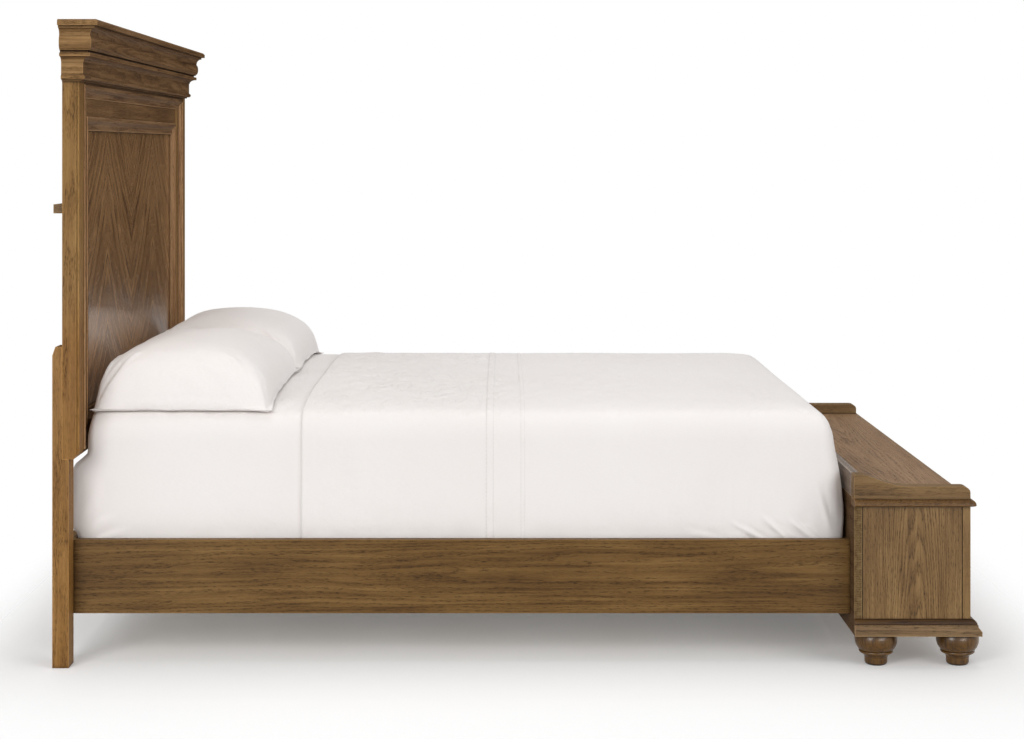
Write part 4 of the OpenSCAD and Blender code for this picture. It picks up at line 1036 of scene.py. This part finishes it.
def sheetPlan():
    # columns along the bed stand closer at the sewn bands and at the foot's folds
    corner = bed["foot"] - bed["corner"]
    stops = [bed["hem"]]
    while stops[-1] < corner - 0.004:
        at = stops[-1]
        step = 0.0042 if at > 0.56 else 0.0125
        if at < bed["hem"] + 0.045:
            step = 0.006
        for middle, halfWide, height in sheets["bands"]:
            if abs(at - middle) < halfWide + 0.016:
                step = 0.003
        stops.append(at + step)
    stops = np.array(stops)
    stops = stops[0] + (stops - stops[0]) * (corner - stops[0]) / (stops[-1] - stops[0])
    near = [(x, -bed["half"]) for x in stops[:-1]]
    r, half, foot = bed["corner"], bed["half"], bed["foot"]
    plan = near + turnRound((foot - r, r - half), r, -90, 10)
    plan += straight((foot, r - half), (foot, half - r), 0.030)
    plan += turnRound((foot - r, half - r), r, 0, 10) + [(foot - r, half)]
    return plan + [(x, half) for x, y in near[::-1]], len(near)


def makeTopSheet():
    plan, sideCount = sheetPlan()
    flatRows = [row for row in bedRows if row[1] < 0.5]
    flatRows += [(edgeTop + bed["crown"], inset, 0) for inset in (0.600, bed["half"] - bed["corner"] - 0.012)]
    rows = smoothRows(flatRows, 112, 0.42)
    points = bedSurface(plan, rows, bed["hem"])
    normals = gridNormals(points)
    points = liftCloth(points, normals, sheets["topOut"] + topSheetLift(points))
    piece = gridPiece("top_sheet_cloth", points, False, bandCloth, (), sideCount)
    finishSheet(piece, "top_sheet")


makeFittedSheet()
makeTopSheet()
print("sheets made")

# pillows: two sewn covers round a soft filling, modelled as a flat bag that is moved out to shape
pillow = {
    "across": 88,
    "along": 124,
    "seamHeight": 0.006,
    "lip": 0.006,
    "drawIn": 0.010,
    "crest": 0.014,
    "puckers": 0.010,
    "folds": (
        ((0.022, 0.02), (0.055, 0.17), 0.008, 0.0100),
        ((0.050, 0.02), (0.125, 0.10), 0.007, 0.0080),
        ((0.440, 0.02), (0.350, 0.09), 0.009, 0.0070),
        ((0.400, 0.015), (0.260, 0.055), 0.008, 0.0050),
    ),
    "sectionAcross": (
        (0.0, 0.0), (0.006, 0.22), (0.014, 0.36), (0.03, 0.50), (0.07, 0.67), (0.11, 0.77), (0.15, 0.845),
        (0.20, 0.90),
        (0.26, 0.945), (0.36, 0.985), (0.46, 1.0), (0.54, 1.0), (0.62, 0.98), (0.69, 0.945), (0.75, 0.90),
        (0.82, 0.82), (0.88, 0.73), (0.93, 0.62), (0.965, 0.49), (0.985, 0.36), (0.995, 0.22), (1.0, 0.0),
    ),
    "sectionAlong": (
        (0.0, 0.0), (0.004, 0.20), (0.012, 0.36), (0.03, 0.55), (0.06, 0.72), (0.11, 0.86), (0.19, 0.945),
        (0.30, 0.985), (0.5, 1.0),
    ),
}


def sectionAt(table, share):
    places, heights = np.array(table).T
    fine = np.linspace(0, 1, 401) * places[-1]
    curve = np.interp(fine, places, heights)
    # rounds the table's corners off, most where the cover lies flat
    for _ in range(3):
        soft = np.convolve(np.pad(curve, 9, mode="edge"), np.ones(19) / 19, mode="valid")
        keep = np.clip(1 - np.minimum(fine, places[-1] - fine if places[-1] == 1.0 else 1.0) / 0.06, 0, 1)
        curve = curve * keep + soft * (1 - keep)
    return np.interp(share, fine, curve)


def pillowShape(low, size, crest, seed):
    # two layers of points over the same plan; the first is the upper cover
    n, m = pillow["across"], pillow["along"]
    ease = lambda t: 0.45 * t + 0.55 * (0.5 - 0.5 * np.cos(np.pi * t))
    u, v = np.meshgrid(ease(np.linspace(0, 1, n + 1)), ease(np.linspace(0, 1, m + 1)), indexing="ij")
    sideX, sideY = 2 * u - 1, 2 * v - 1
    x = low[0] + size[0] * (0.5 + sideX / 2 * (1 - pillow["drawIn"] / (size[0] / 2) * (1 - sideY**4)))
    y = low[1] + size[1] * (0.5 + sideY / 2 * (1 - pillow["drawIn"] / (size[1] / 2) * (1 - sideX**4)))
    edge = np.minimum(np.minimum(u, 1 - u) * size[0], np.minimum(v, 1 - v) * size[1])
    inU = np.clip((u * size[0] - pillow["lip"]) / (size[0] - 2 * pillow["lip"]), 0, 1)
    inV = np.clip((v * size[1] - pillow["lip"]) / (size[1] - 2 * pillow["lip"]), 0, 1)
    fallU = 1 - sectionAt(pillow["sectionAcross"], inU)
    fallV = 1 - sectionAt(pillow["sectionAlong"], np.minimum(inV, 1 - inV))
    # full corners by the headboard, rounder ones towards the foot
    square = 1.9 - 0.65 * u
    share = np.clip(1 - (fallU**square + fallV**square) ** (1 / square), 0, 1)
    seat = bedHeight(x, y) + 0.0035
    seam = np.maximum(seat, edgeTop) + pillow["seamHeight"]
    flat = np.stack([x, y, np.zeros(x.shape)], axis=-1)
    seam = seam + 0.0030 * waves(flat, seed, 0.09, 6) * np.exp(-edge / 0.02)
    top = seam + 0.0009 + share * (crest - seam)
    # puckers that run out of the near corners, and small gathers along the seam
    for cornerU, share, span in ((0, 1.0, 0.10), (1, 0.4, 0.07)):
        du, dv = np.abs(u - cornerU) * size[0], v * size[1]
        reach, angle = np.hypot(du, dv), np.arctan2(dv, du)
        beat = 10.0 + 2.0 * math.sin(seed + cornerU * 2.1)
        fold = np.cos(beat * angle + seed + cornerU) + 0.5 * np.cos(2.3 * beat * angle + seed)
        fade = np.clip((reach - 0.012) / 0.03, 0, 1) * bell(reach, span) * np.clip(edge / 0.02, 0, 1)
        top = top + pillow["puckers"] * fold * fade * share
    top = top + 0.0016 * waves(flat, seed + 5, 0.030) * bell(edge - 0.018, 0.014)
    # a soft fold over the end by the headboard, and one that runs in from the other
    for start, end, width, height in pillow["folds"]:
        top = top + height * crease(u * size[0], v * size[1], start, end, width, 1.0) * np.clip(edge / 0.03, 0, 1)
    top = top + 0.0016 * waves(flat, seed + 9, 0.16, 6, (1, 0.7, 0)) * np.clip(edge / 0.05, 0, 1)
    bottom = seam - 0.0009 - (seam - 0.0009 - seat) * np.clip((edge - pillow["lip"]) / 0.045, 0, 1) ** 0.6
    top = np.maximum(top, seat + 0.002)
    return x, y, np.maximum(bottom, seat), top, u * size[0], v * size[1]


def makePillow(name, low, size, crest, seed):
    x, y, bottom, top, flatX, flatY = pillowShape(low, size, crest, seed)
    n, m = pillow["across"], pillow["along"]
    index, verts, faces, spots = {}, [], [], []

    def key(i, j):
        # both covers share the points of the seam
        return i, j, 0 if i in (0, n) or j in (0, m) else layer

    for layer, height in ((1, top), (-1, bottom)):
        for i, j in np.ndindex(n + 1, m + 1):
            if key(i, j) not in index:
                index[key(i, j)] = len(verts)
                z = height[i, j] if key(i, j)[2] else (top[i, j] + bottom[i, j]) / 2
                verts.append((x[i, j], y[i, j], z))
                spots.append((flatX[i, j], flatY[i, j]))
        for i, j in np.ndindex(n, m):
            ring = ((i, j), (i + 1, j), (i + 1, j + 1), (i, j + 1))
            face = [index[key(*corner)] for corner in ring]
            faces.append(face[::layer])
    piece = meshPiece(name, verts, faces, spots, pillowCloth)
    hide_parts("pillows")
    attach(piece, "root")


pillowsLow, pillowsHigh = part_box("pillows")
# the seams reach from the headboard to the mattress's edge, as the stuffing lets them
pillowHead = pillowsLow.x - 0.009
pillowSize = (pillowsHigh.x + 0.010 - pillowHead, bed["half"] - 0.008)
for name, start, seed in (("pillow_near", -bed["half"] + 0.004, 4), ("pillow_far", 0.004, 8)):
    makePillow(name, (pillowHead, start), pillowSize, pillowsHigh.z - pillow["crest"], seed)
print("pillows made")

# stage, lights and camera
studio = {
    "world": 0.48,
    "floorPaint": 0.86,
    "floorGlow": 0.15,
    "floorFade": (0.10, 1.10),
    "fadeBeside": 2.8,
    "lamps": {
        "key": {"at": (-3.0, -5.9, 2.9), "to": (-0.5, 0.0, 0.7), "size": 2.6, "power": 172.0},
        "fill": {"at": (4.5, -4.5, 3.0), "to": (0.3, 0.0, 0.4), "size": 3.5, "power": 108.0},
        "above": {"at": (0.0, 0.5, 4.8), "to": (0.0, 0.0, 0.0), "size": 4.0, "power": 62.0},
        "shine_left": {"at": (-1.7, -3.6, 0.55), "to": (0.6, -0.8, 0.1), "size": 1.0, "high": 0.4, "power": 44.0},
        "shine_right": {"at": (2.1, -4.2, 0.55), "to": (0.9, -0.8, 0.1), "size": 1.8, "high": 0.4, "power": 45.0},
    },
    "flags": {
        "flag_dark": {"x": (-2.8, 0.9), "z": (0.56, 4.1), "y": 3.6, "shade": 0.006},
        "flag_grey": {"x": (0.9, 3.4), "z": (0.60, 4.1), "y": 3.6, "shade": 0.30},
        "flag_low": {"x": (-2.8, -0.50), "z": (-0.4, 0.56), "y": 3.6, "shade": 0.16},
    },
}
# the camera stands level, and its shift aims it at the bed
view = {"at": (-0.0385, -5.998, 1.360), "sensor": 36.0, "lens": 68.9, "shift": (0.0088, -0.2144), "reach": 200.0}


def addLamp(name, look):
    data = bpy.data.lights.new(name, "AREA")
    data.shape = "RECTANGLE"
    data.size = look["size"]
    data.size_y = look.get("high", look["size"])
    data.energy = look["power"]
    lamp = bpy.data.objects.new(name, data)
    lamp.location = look["at"]
    way = Vector(np.subtract(look["to"], look["at"]))
    lamp.rotation_euler = way.to_track_quat("-Z", "Y").to_euler()
    bpy.context.collection.objects.link(lamp)
    # the shines only draw highlights on the lacquer
    lamp.visible_camera = False
    lamp.visible_diffuse = "high" not in look


for name, look in studio["lamps"].items():
    addLamp(name, look)


def seenDirect(tree):
    # 1 for rays that come straight from the camera, a mirror or glass
    path = addNode(tree, "LightPath").outputs
    mirror = calc("MAXIMUM", path["Is Glossy Ray"], path["Is Transmission Ray"])
    return calc("MAXIMUM", path["Is Camera Ray"], mirror)


world = bpy.data.worlds.new("studio")
bpy.context.scene.world = world
worldTree = emptyTree(world)
skies = [
    addNode(worldTree, "Background", {"Strength": strength, "Color": (1, 1, 1)}).outputs[0]
    for strength in (studio["world"], 1.0)
]
joinNode("OutputWorld", {0: mixShaders(seenDirect(worldTree), *skies)})


def addPlane(name, **where):
    bpy.ops.mesh.primitive_plane_add(**where)
    plane = bpy.context.active_object
    plane.name = name
    return plane


def makeFloor():
    floor = addPlane("floor", size=60, location=(0, 0, -0.0005))
    material = bpy.data.materials.new("floor_white")
    tree = emptyTree(material)
    paint = addNode(tree, "BsdfDiffuse", {"Color": (studio["floorPaint"],) * 3}).outputs[0]
    glow = joinNode("Emission", {"Strength": times(seenDirect(tree), studio["floorGlow"])}).outputs[0]
    paper = joinNode("AddShader", {0: paint, 1: glow}).outputs[0]
    # away from the bed the paper runs out into the white background
    besideX, besideY = (
        calc("MAXIMUM", minus(absolute(part), high), 0.0)
        for part, high in zip(place(tree), (cadHigh.x, cadHigh.y))
    )
    away = distance(times(besideX, studio["fadeBeside"]), besideY)
    clear = addNode(tree, "BsdfTransparent").outputs[0]
    surface = mixShaders(rescale(away, *studio["floorFade"]), paper, clear)
    joinNode("OutputMaterial", {"Surface": surface})
    floor.data.materials.append(material)


def makeFlag(name, look):
    # a dark card behind the bed that only reflections see, as photographers put beside gloss
    (x0, x1), (z0, z1) = look["x"], look["z"]
    middle = ((x0 + x1) / 2, look["y"], (z0 + z1) / 2)
    flag = addPlane(name, size=1, location=middle, rotation=(math.pi / 2, 0, 0))
    flag.scale = (x1 - x0, z1 - z0, 1)
    material, tree, shader = startMaterial(name + "_card")
    feed(shader, {"Base Color": (look["shade"],) * 3, "Roughness": 0.9, "Specular IOR Level": 0.05})
    flag.data.materials.append(material)
    for rays in ("camera", "diffuse", "shadow", "transmission"):
        setattr(flag, "visible_" + rays, False)


makeFloor()
for name, look in studio["flags"].items():
    makeFlag(name, look)

camera = bpy.data.cameras.new("camera")
camera.sensor_width = view["sensor"]
camera.lens = view["lens"]
camera.shift_x, camera.shift_y = view["shift"]
camera.clip_end = view["reach"]
eye = bpy.data.objects.new("camera", camera)
eye.location = view["at"]
eye.rotation_euler = (math.pi / 2, 0, 0)
bpy.context.collection.objects.link(eye)
bpy.context.scene.camera = eye
bpy.context.scene.view_settings.view_transform = "Standard"
print("stage set")
